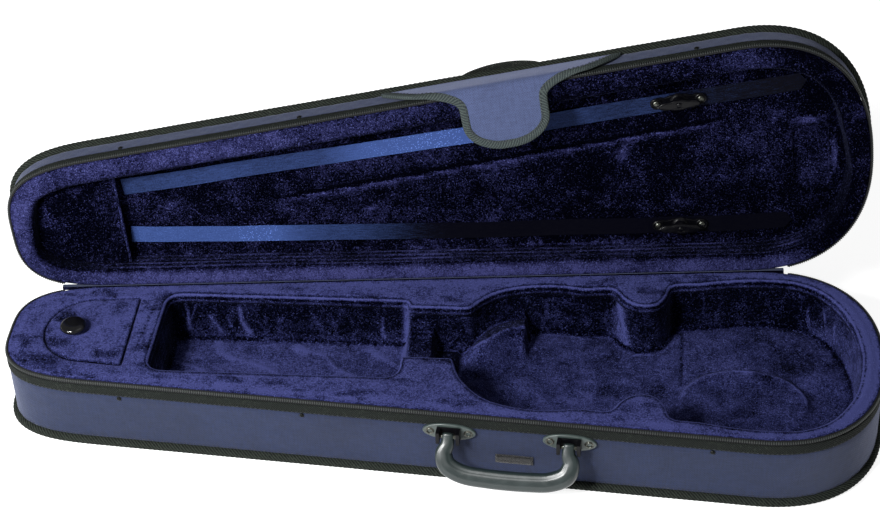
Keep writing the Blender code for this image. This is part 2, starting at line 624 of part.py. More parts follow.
bow_tip_pocket = on_lid(loft('bow_tip_pocket', [pocket_ring(R + 13.0, 19.6), pocket_ring(R + 16.5, 19.6)], PLUSH_DARK, rough=1.0))


def ribbon(name, stations, half):
    """Flat satin band on the lining, drawn as a thin strip."""
    pts = smooth_path(stations, 13)
    rings = []
    for i, p in enumerate(pts):
        a, b = pts[max(i - 1, 0)], pts[min(i + 1, 12)]
        d = (b - a) / np.linalg.norm(b - a)
        n = np.array([-d[1], d[0]])
        z0, z1 = CEILING - 0.9, CEILING - GAP
        rings.append([(*(p - n * half), z0), (*(p + n * half), z0), (*(p + n * half), z1), (*(p - n * half), z1)])
    return on_lid(loft(name, rings, SATIN_BLUE, rough=0.35))


UPPER_BAND = [(-296, -25), (-144, -35), (-30, -42), (70, -48), (170, -55.5), (268, -62), (348, -68)]
LOWER_BAND = [(-297, 27), (-150, 41), (0, 55), (130, 65), (250, 74), (330, 79)]
ribbon_upper = ribbon('ribbon_upper', UPPER_BAND, 8.5)
ribbon_lower = ribbon('ribbon_lower', LOWER_BAND, 8.5)

# bow spinners: a two-eared base with a boss, a screw in each ear and a turning paddle
SPINNERS = (('upper', 230.0, -60.0, -2.0), ('lower', 224.0, 72.0, 4.0))
for tag, cx, cy, turn in SPINNERS:
    frame = Matrix.Translation(metres((cx, cy, CEILING - 1.2))) @ Matrix.Rotation(math.radians(turn), 4, 'Z')
    # local z runs down, out of the lid's ceiling, so heights are negative
    plate = stadium(0.0, 0.0, 26.0, 6.0, 5)
    rings = [[(u, v, 0.0) for u, v in plate], [(u, v, -2.6) for u, v in plate]]
    base = loft('spinner_base_' + tag, rings, BLACK_PLASTIC, rough=0.3)
    post = cutter(turned('join_post_' + tag, [(4.4, -1.0), (4.4, -8.2), (2.2, -8.2), (2.2, -12.2)], BLACK_PLASTIC, sides=12))
    local = Matrix.Translation(-metres(HINGE_POINT)) @ frame
    base.parent = LID_PIVOT
    base.matrix_local = local
    post.parent = LID_PIVOT
    post.matrix_local = local
    cut(base, post, 'UNION')
    for k, du in enumerate((-20.5, 20.5)):
        screw = turned('spinner_screw_%s_%d' % (tag, k + 1), [(3.2, -2.9), (3.2, -3.5), (2.4, -4.4), (1.0, -4.8)], STEEL,
                       sides=12, rough=0.3, metal=0.9, smooth=40)
        screw.parent = LID_PIVOT
        screw.matrix_local = local @ Matrix.Translation(metres((du, 0.0, 0.0)))
    pivot = empty('spinner_pivot_' + tag, local, LID_PIVOT)
    arm = stadium(0.0, 0.0, 19.0, 5.2, 5)
    paddle = loft('spinner_paddle_' + tag, [[(u, v, -8.5) for u, v in arm], [(u, v, -11.8) for u, v in arm]],
                  BLACK_PLASTIC, rough=0.3)
    bore = cutter(turned('cut_bore_' + tag, [(2.5, 0.0), (2.5, -20.0)], BLACK_PLASTIC, sides=12))
    bore.parent = pivot
    paddle.parent = pivot
    paddle.matrix_local = Matrix.Identity(4)
    bore.matrix_local = Matrix.Identity(4)
    cut(paddle, bore)

# grab strap: a webbing loop riveted to the lid's top face just behind the piping
STRAP_Y = 12.0                 # strap centre line, in from the front edge
STRAP_W = 10.0                 # half width of the webbing
lid_front = front_frame(FITTING_X, TOP)
strap_frame = Matrix.Translation(lid_front.to_translation()) @ Matrix.Rotation(-TAPER, 4, 'Z') @ Matrix.Translation(metres((0, STRAP_Y, 0)))
ARCH = [(-60.0, 1.4), (-50.0, 1.4), (-41.0, 4.6), (-30.0, 13.5), (-15.0, 19.7), (0.0, 21.5), (15.0, 19.7), (30.0, 13.5),
        (41.0, 4.6), (50.0, 1.4), (60.0, 1.4)]
arch_pts = smooth_path(ARCH, 25)
arch_rings = []
for i, p in enumerate(arch_pts):
    a, b = arch_pts[max(i - 1, 0)], arch_pts[min(i + 1, 24)]
    d = (b - a) / np.linalg.norm(b - a)
    n = np.array([-d[1], d[0]]) * 1.1
    lo, hi = p - n, p + n
    arch_rings.append([(lo[0], -STRAP_W, lo[1]), (lo[0], STRAP_W, lo[1]), (hi[0], STRAP_W, hi[1]), (hi[0], -STRAP_W, hi[1])])
grab_strap = loft('grab_strap', arch_rings, HERRINGBONE, rough=0.8)
strap_local = Matrix.Translation(-metres(HINGE_POINT)) @ strap_frame
grab_strap.parent = LID_PIVOT
grab_strap.matrix_local = strap_local
for k, du in enumerate((-55.0, 55.0)):
    rivet = dome('grab_strap_rivet_%d' % (k + 1), 3.4, 1.8, STEEL, base=2.8, rough=0.3, metal=0.9, smooth=40)
    rivet.parent = LID_PIVOT
    rivet.matrix_local = strap_local @ Matrix.Translation(metres((du, 0.0, 0.0)))

for k, x in enumerate(STUD_X):
    stud = dome('lid_stud_%d' % (k + 1), 2.0, 1.1, STEEL, base=GAP, sides=10, rough=0.3, metal=0.9, smooth=40)
    stud.parent = LID_PIVOT
    stud.matrix_local = Matrix.Translation(-metres(HINGE_POINT)) @ front_frame(x, R + BINDING_LID[1] + 3.2)

# ================================================================ front flap
FLAP_TOP = 27.6                # flap's seam, above the rim plane
FLAP_THICK = 2.4
flap_lid_frame = front_frame(FITTING_X, R)       # along the wall, up, outward
flap_root_pivot = empty('flap_root_pivot', Matrix.Translation(-metres(HINGE_POINT)) @ flap_lid_frame
                        @ Matrix.Translation(metres((0.0, FLAP_TOP, 1.6))), LID_PIVOT)


def root_half(v):
    """Half width of the flap at height v above the rim plane."""
    t = 1.0 - v / FLAP_TOP
    return 112.0 - 34.0 * t ** 1.25


def tongue_half(d):
    """Half width of the tongue at distance d below the rim line."""
    if d < 17.0:
        t = d / 17.0
        return 78.0 + (39.5 - 78.0) * math.sin(0.5 * math.pi * t) ** 0.8
    if d < 34.0:
        return 39.5 - 0.5 * (d - 17.0) / 17.0
    f = min(1.0, (d - 34.0) / (FLAP_REACH - 34.0))
    return 39.0 * max(0.0, 1.0 - f ** 1.9) ** (1.0 / 2.1)


rings = []
for i in range(6):
    v = FLAP_TOP - 0.2 + (0.9 - FLAP_TOP + 0.2) * i / 5.0
    w = 0.4 + (FLAP_STAND - 0.5 * FLAP_THICK - 0.4) * (1.0 - (v - 0.9) / (FLAP_TOP - 1.1))
    h = root_half(v)
    rings.append([(-h, v, w), (h, v, w), (h, v, w + FLAP_THICK), (-h, v, w + FLAP_THICK)])
flap_root = loft('flap_root', rings, FLAP_BLUE, rough=0.95)
flap_root.parent = flap_root_pivot
flap_root.matrix_local = Matrix.Translation(metres((0.0, -FLAP_TOP, -1.6)))

# the tongue is drawn hanging straight down from its own pivot, then bent to the open pose
tongue_bend = OPEN_ANGLE - FLAP_FLARE
flap_tongue_pivot = empty('flap_tongue_pivot', Matrix.Translation(metres((0.0, -FLAP_TOP, -1.6 + FLAP_STAND)))
                          @ Matrix.Rotation(math.radians(tongue_bend), 4, 'X'), flap_root_pivot)
rings = []
for d in (0.9, 3.0, 6.0, 9.5, 13.5, 17.0, 26.0, 34.0, 41.0, 47.0, 51.5, 55.0, 57.2):
    h = tongue_half(d)
    rings.append([(-h, -d, -0.5 * FLAP_THICK), (h, -d, -0.5 * FLAP_THICK), (h, -d, 0.5 * FLAP_THICK), (-h, -d, 0.5 * FLAP_THICK)])
flap_tongue = loft('flap_tongue', rings, FLAP_BLUE, rough=0.95)
loop_patch = box_mesh('loop_patch', -16.0, 16.0, -53.0, -45.0, -0.5 * FLAP_THICK - GAP - 0.7, -0.5 * FLAP_THICK - GAP,
                      BLACK_PLASTIC, rough=1.0)
for piece in (flap_tongue, loop_patch):
    piece.parent = flap_tongue_pivot
    piece.matrix_local = Matrix.Identity(4)

# ================================================================ canvas hinge along the back, bent at the pivot line
bend = math.radians(OPEN_ANGLE)
leg_low, leg_high = R - BINDING_BASE[0], BINDING_LID[1]
t = CANVAS
# section in (outward, up) from the pivot line: down the base wall, round the fold, along the lid's wall
dir_lid = Vector((math.sin(bend), math.cos(bend)))       # along the lid's wall, away from the pivot
nor_lid = Vector((math.cos(bend), -math.sin(bend)))      # outward from the lid's wall
mitre = Vector((1.0, 0.0)) + nor_lid
mitre = mitre * (t / mitre.dot(nor_lid))
section = [Vector((0.0, -leg_low)), Vector((0.0, 0.0)), dir_lid * leg_high, dir_lid * leg_high + nor_lid * t, mitre,
           Vector((t, -leg_low))]
back_out = Vector((-math.sin(TAPER), math.cos(TAPER), 0.0))
hinge_rings = []
for a in (-350.0, 306.0):
    origin = HINGE_POINT + HINGE_DIR * (a / math.cos(TAPER))
    hinge_rings.append([tuple(origin + back_out * (p[0] + 0.05) + Vector((0, 0, p[1]))) for p in section])
hinge_canvas = loft('hinge_canvas', hinge_rings, CANVAS_BLUE, rough=0.95)
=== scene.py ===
import math
import bpy
import bmesh
import numpy as np
from mathutils import Matrix, Vector
from mathutils.geometry import delaunay_2d_cdt

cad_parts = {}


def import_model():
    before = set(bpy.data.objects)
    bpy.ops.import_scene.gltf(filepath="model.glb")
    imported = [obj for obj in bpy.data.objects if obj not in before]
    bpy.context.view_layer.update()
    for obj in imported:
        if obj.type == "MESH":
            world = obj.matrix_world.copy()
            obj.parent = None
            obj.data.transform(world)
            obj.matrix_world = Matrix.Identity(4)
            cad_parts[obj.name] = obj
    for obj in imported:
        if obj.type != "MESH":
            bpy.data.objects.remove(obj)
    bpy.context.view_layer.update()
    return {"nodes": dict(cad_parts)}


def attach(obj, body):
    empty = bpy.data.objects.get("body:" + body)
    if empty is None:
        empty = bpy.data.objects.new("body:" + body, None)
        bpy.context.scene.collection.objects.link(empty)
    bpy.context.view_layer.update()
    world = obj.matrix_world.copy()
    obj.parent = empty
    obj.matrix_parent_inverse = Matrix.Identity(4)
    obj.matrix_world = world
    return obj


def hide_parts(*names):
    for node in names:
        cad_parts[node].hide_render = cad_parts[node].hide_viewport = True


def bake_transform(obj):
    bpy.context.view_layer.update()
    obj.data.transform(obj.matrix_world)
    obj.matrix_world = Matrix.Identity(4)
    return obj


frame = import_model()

# ================================================================ dimensions, in millimetres
MM = 0.001
LENGTH = 806.0
HALF_LENGTH = LENGTH / 2.0
NARROW_HALF, WIDE_HALF = 61.9, 127.9
NARROW_END, NARROW_POWER = 94.3, 3.24
WIDE_END, WIDE_POWER = 121.7, 2.3
BASE_RIM = 78.0
LID_DEPTH = 37.9
R = BASE_RIM
TOP = R + LID_DEPTH
PIPING = 4.5
CANVAS = 1.2
WALL_IN, WALL, GAP = 1.5, 5.0, 0.3
OPEN_ANGLE = 96.66
BINDING_BASE = (61.8, 72.3)
BINDING_LID = (5.2, 12.0)
FITTING_X = 70.0
HANDLE_Z, HANDLE_SPREAD, HANDLE_OUT, HANDLE_TILT = 57.0, 54.0, 8.2, 30.0
FLAP_TOP, FLAP_THICK, FLAP_REACH, FLAP_FLARE, FLAP_STAND = 27.6, 2.4, 58.0, 30.0, 6.4
RIM_TOP = BASE_RIM - GAP
INSERT_OUT = WALL_IN + WALL + GAP
CEILING = R + 26.0
STRAIGHT_SLOPE = (WIDE_HALF - NARROW_HALF) / LENGTH
TAPER = math.atan(STRAIGHT_SLOPE)


# ================================================================ small numeric tools
def smooth01(a, b, x):
    t = np.clip((np.asarray(x, float) - a) / (b - a), 0.0, 1.0)
    return t * t * (3.0 - 2.0 * t)


def bump_fn(d, width):
    """1 at d = 0, falling smoothly to 0 at |d| = width."""
    t = np.clip(1.0 - np.abs(d) / width, 0.0, 1.0)
    return t * t * (3.0 - 2.0 * t)


def _hash(ix, iy, seed):
    h = (ix.astype(np.int64) * 374761393 + iy.astype(np.int64) * 668265263 + seed * 974634777) & 0xFFFFFFFF
    h = ((h ^ (h >> 13)) * 1274126177) & 0xFFFFFFFF
    h = h ^ (h >> 16)
    return (h & 0xFFFF) / 65535.0 * 2.0 - 1.0


def vnoise(x, y, seed=0):
    """Smooth value noise from -1 to 1 with a cell of 1."""
    x, y = np.asarray(x, float), np.asarray(y, float)
    x, y = np.broadcast_arrays(x, y)
    ix, iy = np.floor(x), np.floor(y)
    fx, fy = x - ix, y - iy
    ux, uy = fx * fx * (3 - 2 * fx), fy * fy * (3 - 2 * fy)
    a, b = _hash(ix, iy, seed), _hash(ix + 1, iy, seed)
    c, d = _hash(ix, iy + 1, seed), _hash(ix + 1, iy + 1, seed)
    return (a * (1 - ux) + b * ux) * (1 - uy) + (c * (1 - ux) + d * ux) * uy


def fbm(x, y, seed=0, octaves=3):
    out, amp = 0.0, 1.0
    for k in range(octaves):
        out = out + amp * vnoise(np.asarray(x) * 2 ** k, np.asarray(y) * 2 ** k, seed + 17 * k)
        amp *= 0.5
    return out / 1.75


# ================================================================ outline
def half_width(x):
    width = NARROW_HALF + STRAIGHT_SLOPE * x
    if x < NARROW_END:
        f = max(0.0, (NARROW_END - x) / NARROW_END)
        width *= max(0.0, 1.0 - f ** NARROW_POWER) ** (1.0 / NARROW_POWER)
    if x > LENGTH - WIDE_END:
        f = min(1.0, (x - (LENGTH - WIDE_END)) / WIDE_END)
        width *= max(0.0, 1.0 - f ** WIDE_POWER) ** (1.0 / WIDE_POWER)
    return width


def dense_outline():
    steps = 1400
    xs = [0.5 * LENGTH * (1.0 - math.cos(math.pi * i / steps)) for i in range(steps + 1)]
    back = [(x - HALF_LENGTH, half_width(x)) for x in xs]
    front = [(x, -y) for x, y in back]
    start = min(range(steps + 1), key=lambda i: abs(back[i][0]))
    return np.array(back[start::-1] + front[1:] + back[-2:start:-1], float)


_DENSE = dense_outline()
_STEP = np.linalg.norm(np.roll(_DENSE, -1, 0) - _DENSE, axis=1)
_ARC = np.concatenate([[0.0], np.cumsum(_STEP)])
_CLOSED = np.vstack([_DENSE, _DENSE[:1]])
ROUND = float(_ARC[-1])


def points_at(s):
    s = np.mod(np.asarray(s, float), ROUND)
    return np.stack([np.interp(s, _ARC, _CLOSED[:, 0]), np.interp(s, _ARC, _CLOSED[:, 1])], -1)


def outward(s):
    d = points_at(np.asarray(s) + 2.0) - points_at(np.asarray(s) - 2.0)
    d /= np.linalg.norm(d, axis=-1, keepdims=True)
    return np.stack([d[..., 1], -d[..., 0]], -1)


def arc_of(x_world, back):
    side = _DENSE[:, 1] > 0 if back else _DENSE[:, 1] <= 0
    idx = np.where(side)[0]
    return float(_ARC[idx[np.argmin(np.abs(_DENSE[idx, 0] - x_world))]])


ZIP_START, ZIP_END = arc_of(-365.0, True), arc_of(322.0, True)
LOOP_S = np.linspace(0.0, ROUND, 960, endpoint=False)
RUN_S = np.linspace(ZIP_START, ZIP_END, 700)


def ring(inward, z, s=None):
    """Outline ring moved inward (number or array) at height z."""
    s = LOOP_S if s is None else s
    inward = np.broadcast_to(np.asarray(inward, float), s.shape)
    z = np.broadcast_to(np.asarray(z, float), s.shape)
    p = points_at(s) - inward[:, None] * outward(s)
    return np.column_stack([p, z])


# ================================================================ frames
HINGE_DIR = Vector((math.cos(TAPER), math.sin(TAPER), 0.0))
HINGE_POINT = Vector((0.0, NARROW_HALF + STRAIGHT_SLOPE * HALF_LENGTH - CANVAS / math.cos(TAPER), BASE_RIM))
LID_OPEN = (Matrix.Translation(HINGE_POINT) @ Matrix.Rotation(-math.radians(OPEN_ANGLE), 4, HINGE_DIR)
            @ Matrix.Translation(-HINGE_POINT))


def front_frame(x, z):
    y = -(NARROW_HALF + STRAIGHT_SLOPE * (x + HALF_LENGTH))
    along = (math.cos(TAPER), -math.sin(TAPER), 0.0)
    out = (-math.sin(TAPER), -math.cos(TAPER), 0.0)
    m = Matrix(((along[0], 0.0, out[0], x), (along[1], 0.0, out[1], y), (0.0, 1.0, 0.0, z), (0, 0, 0, 1)))
    return m


def shift(x, y, z):
    return Matrix.Translation(Vector((x, y, z)))


def turn(deg, axis):
    return Matrix.Rotation(math.radians(deg), 4, axis)


def apply(m, pts):
    a = np.array(m, float)
    return np.asarray(pts, float) @ a[:3, :3].T + a[:3, 3]


# ================================================================ mesh making
def make(name, pts, faces, mat, body=None, node=(), slot=None, lid=False, matrix=None, smooth=40.0, st=None,
         fix=True, tone=None):
    """Piece from points in millimetres. lid pieces are drawn closed and turned to the open pose."""
    pts = np.asarray(pts, float).reshape(-1, 3)
    if matrix is not None:
        pts = apply(matrix, pts)
    if lid:
        pts = apply(LID_OPEN, pts)
    mesh = bpy.data.meshes.new(name)
    mesh.from_pydata((pts * MM).tolist(), [], [tuple(int(i) for i in f) for f in faces])
    if st is not None:
        uv = mesh.uv_layers.new(name='st')
        loops = np.zeros(len(mesh.loops), np.int64)
        mesh.loops.foreach_get('vertex_index', loops)
        uv.data.foreach_set('uv', np.asarray(st, float)[loops].astype(np.float32).ravel())
    if tone is not None:
        layer = mesh.attributes.new('tone', 'FLOAT', 'POINT')
        layer.data.foreach_set('value', np.broadcast_to(np.asarray(tone, float), (len(pts),)).astype(np.float32))
    if fix:
        bm = bmesh.new()
        bm.from_mesh(mesh)
        bmesh.ops.recalc_face_normals(bm, faces=bm.faces)
        bm.to_mesh(mesh)
        bm.free()
    mesh.shade_smooth()
    if smooth and smooth < 180:
        mesh.set_sharp_from_angle(angle=math.radians(smooth))
    mesh.materials.append(mat)
    obj = bpy.data.objects.new(name, mesh)
    bpy.context.scene.collection.objects.link(obj)
    if node:
        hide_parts(*([node] if isinstance(node, str) else node))
    if body:
        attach(obj, body)
    return obj


def loft(rings, wrap=False, caps=True, closed=True):
    """Vertices and faces through rings of equal length. wrap joins last ring to first."""
    rings = np.asarray(rings, float)
    m, n = rings.shape[:2]
    idx = np.arange(m * n).reshape(m, n)
    a = idx if wrap else idx[:-1]
    b = np.roll(idx, -1, 0) if wrap else idx[1:]
    if closed:
        quads = np.stack([a, np.roll(a, -1, 1), np.roll(b, -1, 1), b], -1)
    else:
        quads = np.stack([a[:, :-1], a[:, 1:], b[:, 1:], b[:, :-1]], -1)
    faces = quads.reshape(-1, 4).tolist()
    if caps and not wrap and closed:
        faces.append(idx[0][::-1].tolist())
        faces.append(idx[-1].tolist())
    return rings.reshape(-1, 3), faces


def band(name, profile, mat, body, run=False, amp=None, **kw):
    """Closed profile of (inward, z) carried round the outline. amp(s, i) adds to the inward offset."""
    s = RUN_S if run else LOOP_S
    prof = np.asarray(profile, float)
    n = len(prof)
    length = np.concatenate([[0.0], np.cumsum(np.linalg.norm(np.diff(prof, axis=0), axis=1))])
    rings = np.zeros((len(s), n, 3))
    for i, (o, z) in enumerate(prof):
        off = o + (amp(s, i, z) if amp else 0.0)
        rings[:, i] = ring(off, z, s)
    pts, faces = loft(rings, wrap=not run)
    st = np.stack([np.repeat(s, n), np.tile(length, len(s))], -1)
    return make(name, pts, faces, mat, body, st=st, **kw)


def turned(profile, sides=32):
    """Solid of revolution about local Z, closed on the axis."""
    a = 2 * math.pi * np.arange(sides) / sides
    rings = [np.stack([r * np.cos(a), r * np.sin(a), np.full(sides, z)], -1) for r, z in profile]
    return loft(rings)


def stadium(cx, cy, half_len, radius, per=12):
    pts = []
    for i in range(per + 1):
        a = math.radians(-90 + 180.0 * i / per)
        pts.append((cx + half_len - radius + radius * math.cos(a), cy + radius * math.sin(a)))
    for i in range(per + 1):
        a = math.radians(90 + 180.0 * i / per)
        pts.append((cx - half_len + radius + radius * math.cos(a), cy + radius * math.sin(a)))
    return np.array(pts)


def shrink(loop, d):
    p = np.asarray(loop, float)
    t = np.roll(p, -1, 0) - np.roll(p, 1, 0)
    t /= np.maximum(np.linalg.norm(t, axis=1), 1e-9)[:, None]
    area = 0.5 * float(np.sum(p[:, 0] * np.roll(p[:, 1], -1) - np.roll(p[:, 0], -1) * p[:, 1]))
    n = np.stack([t[:, 1], -t[:, 0]], 1) * (1.0 if area > 0 else -1.0)
    return p - np.asarray(d, float).reshape(-1, 1) * n


def smooth_path(stations, count, tension=0.5):
    p = [np.array(s, float) for s in stations]
    p = [2 * p[0] - p[1]] + p + [2 * p[-1] - p[-2]]
    seg = len(p) - 3
    out = []
    for i in range(count):
        g = seg * i / (count - 1)
        k = min(int(g), seg - 1)
        t = g - k
        a, b, c, d = p[k], p[k + 1], p[k + 2], p[k + 3]
        m1, m2 = tension * (c - a), tension * (d - b)
        out.append((2 * t ** 3 - 3 * t ** 2 + 1) * b + (t ** 3 - 2 * t ** 2 + t) * m1
                   + (-2 * t ** 3 + 3 * t ** 2) * c + (t ** 3 - t ** 2) * m2)
    return np.array(out)


def resample(loop, step, closed=True):
    p = np.asarray(loop, float)
    q = np.vstack([p, p[:1]]) if closed else p
    arc = np.concatenate([[0.0], np.cumsum(np.linalg.norm(np.diff(q, axis=0), axis=1))])
    n = max(8, int(round(arc[-1] / step)))
    s = np.linspace(0.0, arc[-1], n, endpoint=not closed)
    return np.stack([np.interp(s, arc, q[:, k]) for k in range(q.shape[1])], -1)


def soften(loop, sigma, step):
    """Rounds the corners of a closed loop that is sampled evenly."""
    n = int(math.ceil(3.5 * sigma / step))
    k = np.exp(-0.5 * (np.arange(-n, n + 1) * step / sigma) ** 2)
    k /= k.sum()
    out = np.zeros_like(loop)
    for i, w in zip(range(-n, n + 1), k):
        out += w * np.roll(loop, i, 0)
    return out


def inside(poly, pts):
    """Which points lie inside a closed polygon."""
    x, y = pts[:, 0], pts[:, 1]
    res = np.zeros(len(pts), bool)
    px, py = poly[:, 0], poly[:, 1]
    qx, qy = np.roll(px, -1), np.roll(py, -1)
    for a, b, c, d in zip(px, py, qx, qy):
        if b == d:
            continue
        hit = ((b > y) != (d > y)) & (x < (c - a) * (y - b) / (d - b) + a)
        res ^= hit
    return res


def near(poly, pts):
    """Distance from each point to the nearest vertex of a loop."""
    out = np.zeros(len(pts))
    for i in range(0, len(pts), 4000):
        d = pts[i:i + 4000, None, :] - poly[None, :, :]
        out[i:i + 4000] = np.sqrt(np.min(np.sum(d * d, -1), axis=1))
    return out


def fill(loops, step, margin=0.6, extra=None):
    """Triangulates the region inside loops[0] and outside the others, with a grid of inner points.
    Returns points (the loops' own points first, in order) and faces."""
    outer = loops[0]
    lo, hi = outer.min(0), outer.max(0)
    gx = np.arange(math.floor(lo[0] / step) * step, hi[0] + step, step)
    gy = np.arange(math.floor(lo[1] / step) * step, hi[1] + step, step)
    g = np.stack(np.meshgrid(gx, gy), -1).reshape(-1, 2)
    g[:, 0] += 0.5 * step * (np.round(g[:, 1] / step).astype(int) % 2)
    keep = inside(outer, g)
    for hole in loops[1:]:
        keep &= ~inside(hole, g)
    g = g[keep]
    for lp in loops:
        g = g[near(lp, g) > margin * step]
    if extra is not None:
        g = np.vstack([g, extra])
    edges, base = [], 0
    for lp in loops:
        n = len(lp)
        edges += [(base + i, base + (i + 1) % n) for i in range(n)]
        base += n
    pts = np.vstack([*loops, g])
    v, _, f, ov, _, _ = delaunay_2d_cdt([Vector(p) for p in pts.tolist()], edges, [], 1, 1e-6)
    v = np.array([tuple(p) for p in v])
    back = np.full(len(v), -1)
    for i, o in enumerate(ov):
        if o:
            back[i] = o[0]
    faces = [tuple(int(back[i]) for i in t) for t in f]
    faces = [t for t in faces if min(t) >= 0]
    cen = np.array([pts[list(t)].mean(0) for t in faces])
    ok = inside(outer, cen)
    for hole in loops[1:]:
        ok &= ~inside(hole, cen)
    return pts, [t for t, k in zip(faces, ok) if k]


# ================================================================ materials
class Graph:
    """Short way to build a node material."""

    def __init__(self, name):
        self.mat = bpy.data.materials.new(name)
        self.mat.use_nodes = True
        self.t = self.mat.node_tree
        self.t.nodes.clear()
        out = self.t.nodes.new('ShaderNodeOutputMaterial')
        self.bsdf = self.t.nodes.new('ShaderNodeBsdfPrincipled')
        self.t.links.new(self.bsdf.outputs[0], out.inputs['Surface'])

    def node(self, kind, ins=None, **props):
        n = self.t.nodes.new('ShaderNode' + kind)
        for k, v in props.items():
            setattr(n, k, v)
        for k, v in (ins or {}).items():
            self.put(n.inputs[k], v)
        return n

    def put(self, sock, v):
        if isinstance(v, bpy.types.NodeSocket):
            self.t.links.new(v, sock)
        else:
            sock.default_value = v

    def m(self, op, a, b=0.0, c=0.0, clamp=False):
        n = self.t.nodes.new('ShaderNodeMath')
        n.operation = op
        n.use_clamp = clamp
        for i, v in enumerate((a, b, c)):
            self.put(n.inputs[i], v)
        return n.outputs[0]

    def mix(self, f, a, b, blend='MIX'):
        n = self.t.nodes.new('ShaderNodeMix')
        n.data_type = 'RGBA'
        n.blend_type = blend
        self.put(n.inputs[0], f)
        self.put(n.inputs[6], a)
        self.put(n.inputs[7], b)
        return n.outputs[2]

    def ramp(self, v, lo, hi, a=0.0, b=1.0):
        n = self.node('MapRange', {'Value': v, 'From Min': lo, 'From Max': hi, 'To Min': a, 'To Max': b},
                      interpolation_type='SMOOTHSTEP')
        return n.outputs[0]

    def coords(self):
        """Object coordinates in millimetres."""
        c = self.node('TexCoord')
        return self.node('VectorMath', {0: c.outputs['Object'], 3: 1000.0}, operation='SCALE').outputs[0]

    def st(self):
        u = self.node('UVMap', uv_map='st')
        x = self.node('SeparateXYZ', {0: u.outputs[0]})
        return u.outputs[0], x.outputs[0], x.outputs[1]

    def noise(self, vec, size, detail=2.0, rough=0.5, distort=0.0):
        """Noise whose lumps are about size millimetres."""
        return self.node('TexNoise', {'Vector': vec, 'Scale': 1.0 / size, 'Detail': detail, 'Roughness': rough,
                                      'Distortion': distort}).outputs['Fac']

    def bump(self, h, strength, distance, normal=None):
        ins = {'Height': h, 'Strength': strength, 'Distance': distance * MM}
        if normal is not None:
            ins['Normal'] = normal
        return self.node('Bump', ins).outputs[0]

    def done(self, color, rough, normal=None, **sockets):
        self.put(self.bsdf.inputs['Base Color'], color)
        self.put(self.bsdf.inputs['Roughness'], rough)
        if normal is not None:
            self.put(self.bsdf.inputs['Normal'], normal)
        for k, v in sockets.items():
            self.bsdf.inputs[k.replace('_', ' ')].default_value = v
        return self.mat


def rgb(r, g, b):
    """8-bit display colour to linear."""
    def f(c):
        c /= 255.0
        return c / 12.92 if c <= 0.04045 else ((c + 0.055) / 1.055) ** 2.4
    return (f(r), f(g), f(b), 1.0)


def canvas_material(name, light, dark, pitch=1.15, use_st=True, wear=0.25):
    """Plain-woven cloth: over-and-under threads, slubs, faded and soiled areas."""
    g = Graph(name)
    co = g.coords()
    if use_st:
        _, s, t = g.st()
    else:
        x = g.node('SeparateXYZ', {0: co})
        s, t = g.m('ADD', x.outputs[0], g.m('MULTIPLY', x.outputs[1], 0.3)), g.m('ADD', x.outputs[2], x.outputs[1])
    ws = g.m('SINE', g.m('MULTIPLY', s, math.pi / pitch))
    wt = g.m('SINE', g.m('MULTIPLY', t, math.pi / pitch))
    weave = g.m('MULTIPLY_ADD', g.m('MULTIPLY', ws, wt), 0.5, 0.5)
    thread = g.m('MAXIMUM', g.m('ABSOLUTE', ws), g.m('ABSOLUTE', wt))
    slub = g.noise(g.node('CombineXYZ', {0: g.m('MULTIPLY', s, 0.12), 1: t, 2: 0.0}).outputs[0], 1.6, 3.0, 0.6)
    slub2 = g.noise(g.node('CombineXYZ', {0: s, 1: g.m('MULTIPLY', t, 0.12), 2: 3.0}).outputs[0], 1.6, 3.0, 0.6)
    grain = g.noise(co, 1.1, 2.0, 0.7)
    blot = g.noise(co, 55.0, 4.0, 0.55, 0.4)
    f = g.m('MULTIPLY_ADD', weave, 0.28, g.m('MULTIPLY', g.m('ADD', slub, slub2), 0.45))
    f = g.m('MULTIPLY_ADD', grain, 0.5, g.m('SUBTRACT', f, 0.28))
    col = g.mix(g.ramp(f, 0.12, 0.85), dark, light)
    col = g.mix(g.ramp(blot, 0.30, 0.72, 0.0, wear), col, (dark[0] * 0.6, dark[1] * 0.6, dark[2] * 0.55, 1), 'MIX')
    h = g.m('MULTIPLY_ADD', thread, 0.5, g.m('MULTIPLY', weave, 0.4))
    h = g.m('MULTIPLY_ADD', g.m('ADD', slub, slub2), 0.4, h)
    n = g.bump(h, 0.55, 0.35)
    n = g.bump(g.noise(co, 9.0, 2.0), 0.25, 1.2, n)
    rough = g.ramp(grain, 0.2, 0.8, 0.82, 0.97)
    return g.done(col, rough, n, Sheen_Weight=0.25, Sheen_Roughness=0.5, Sheen_Tint=(0.7, 0.75, 1.0, 1.0),
                  Specular_IOR_Level=0.25)


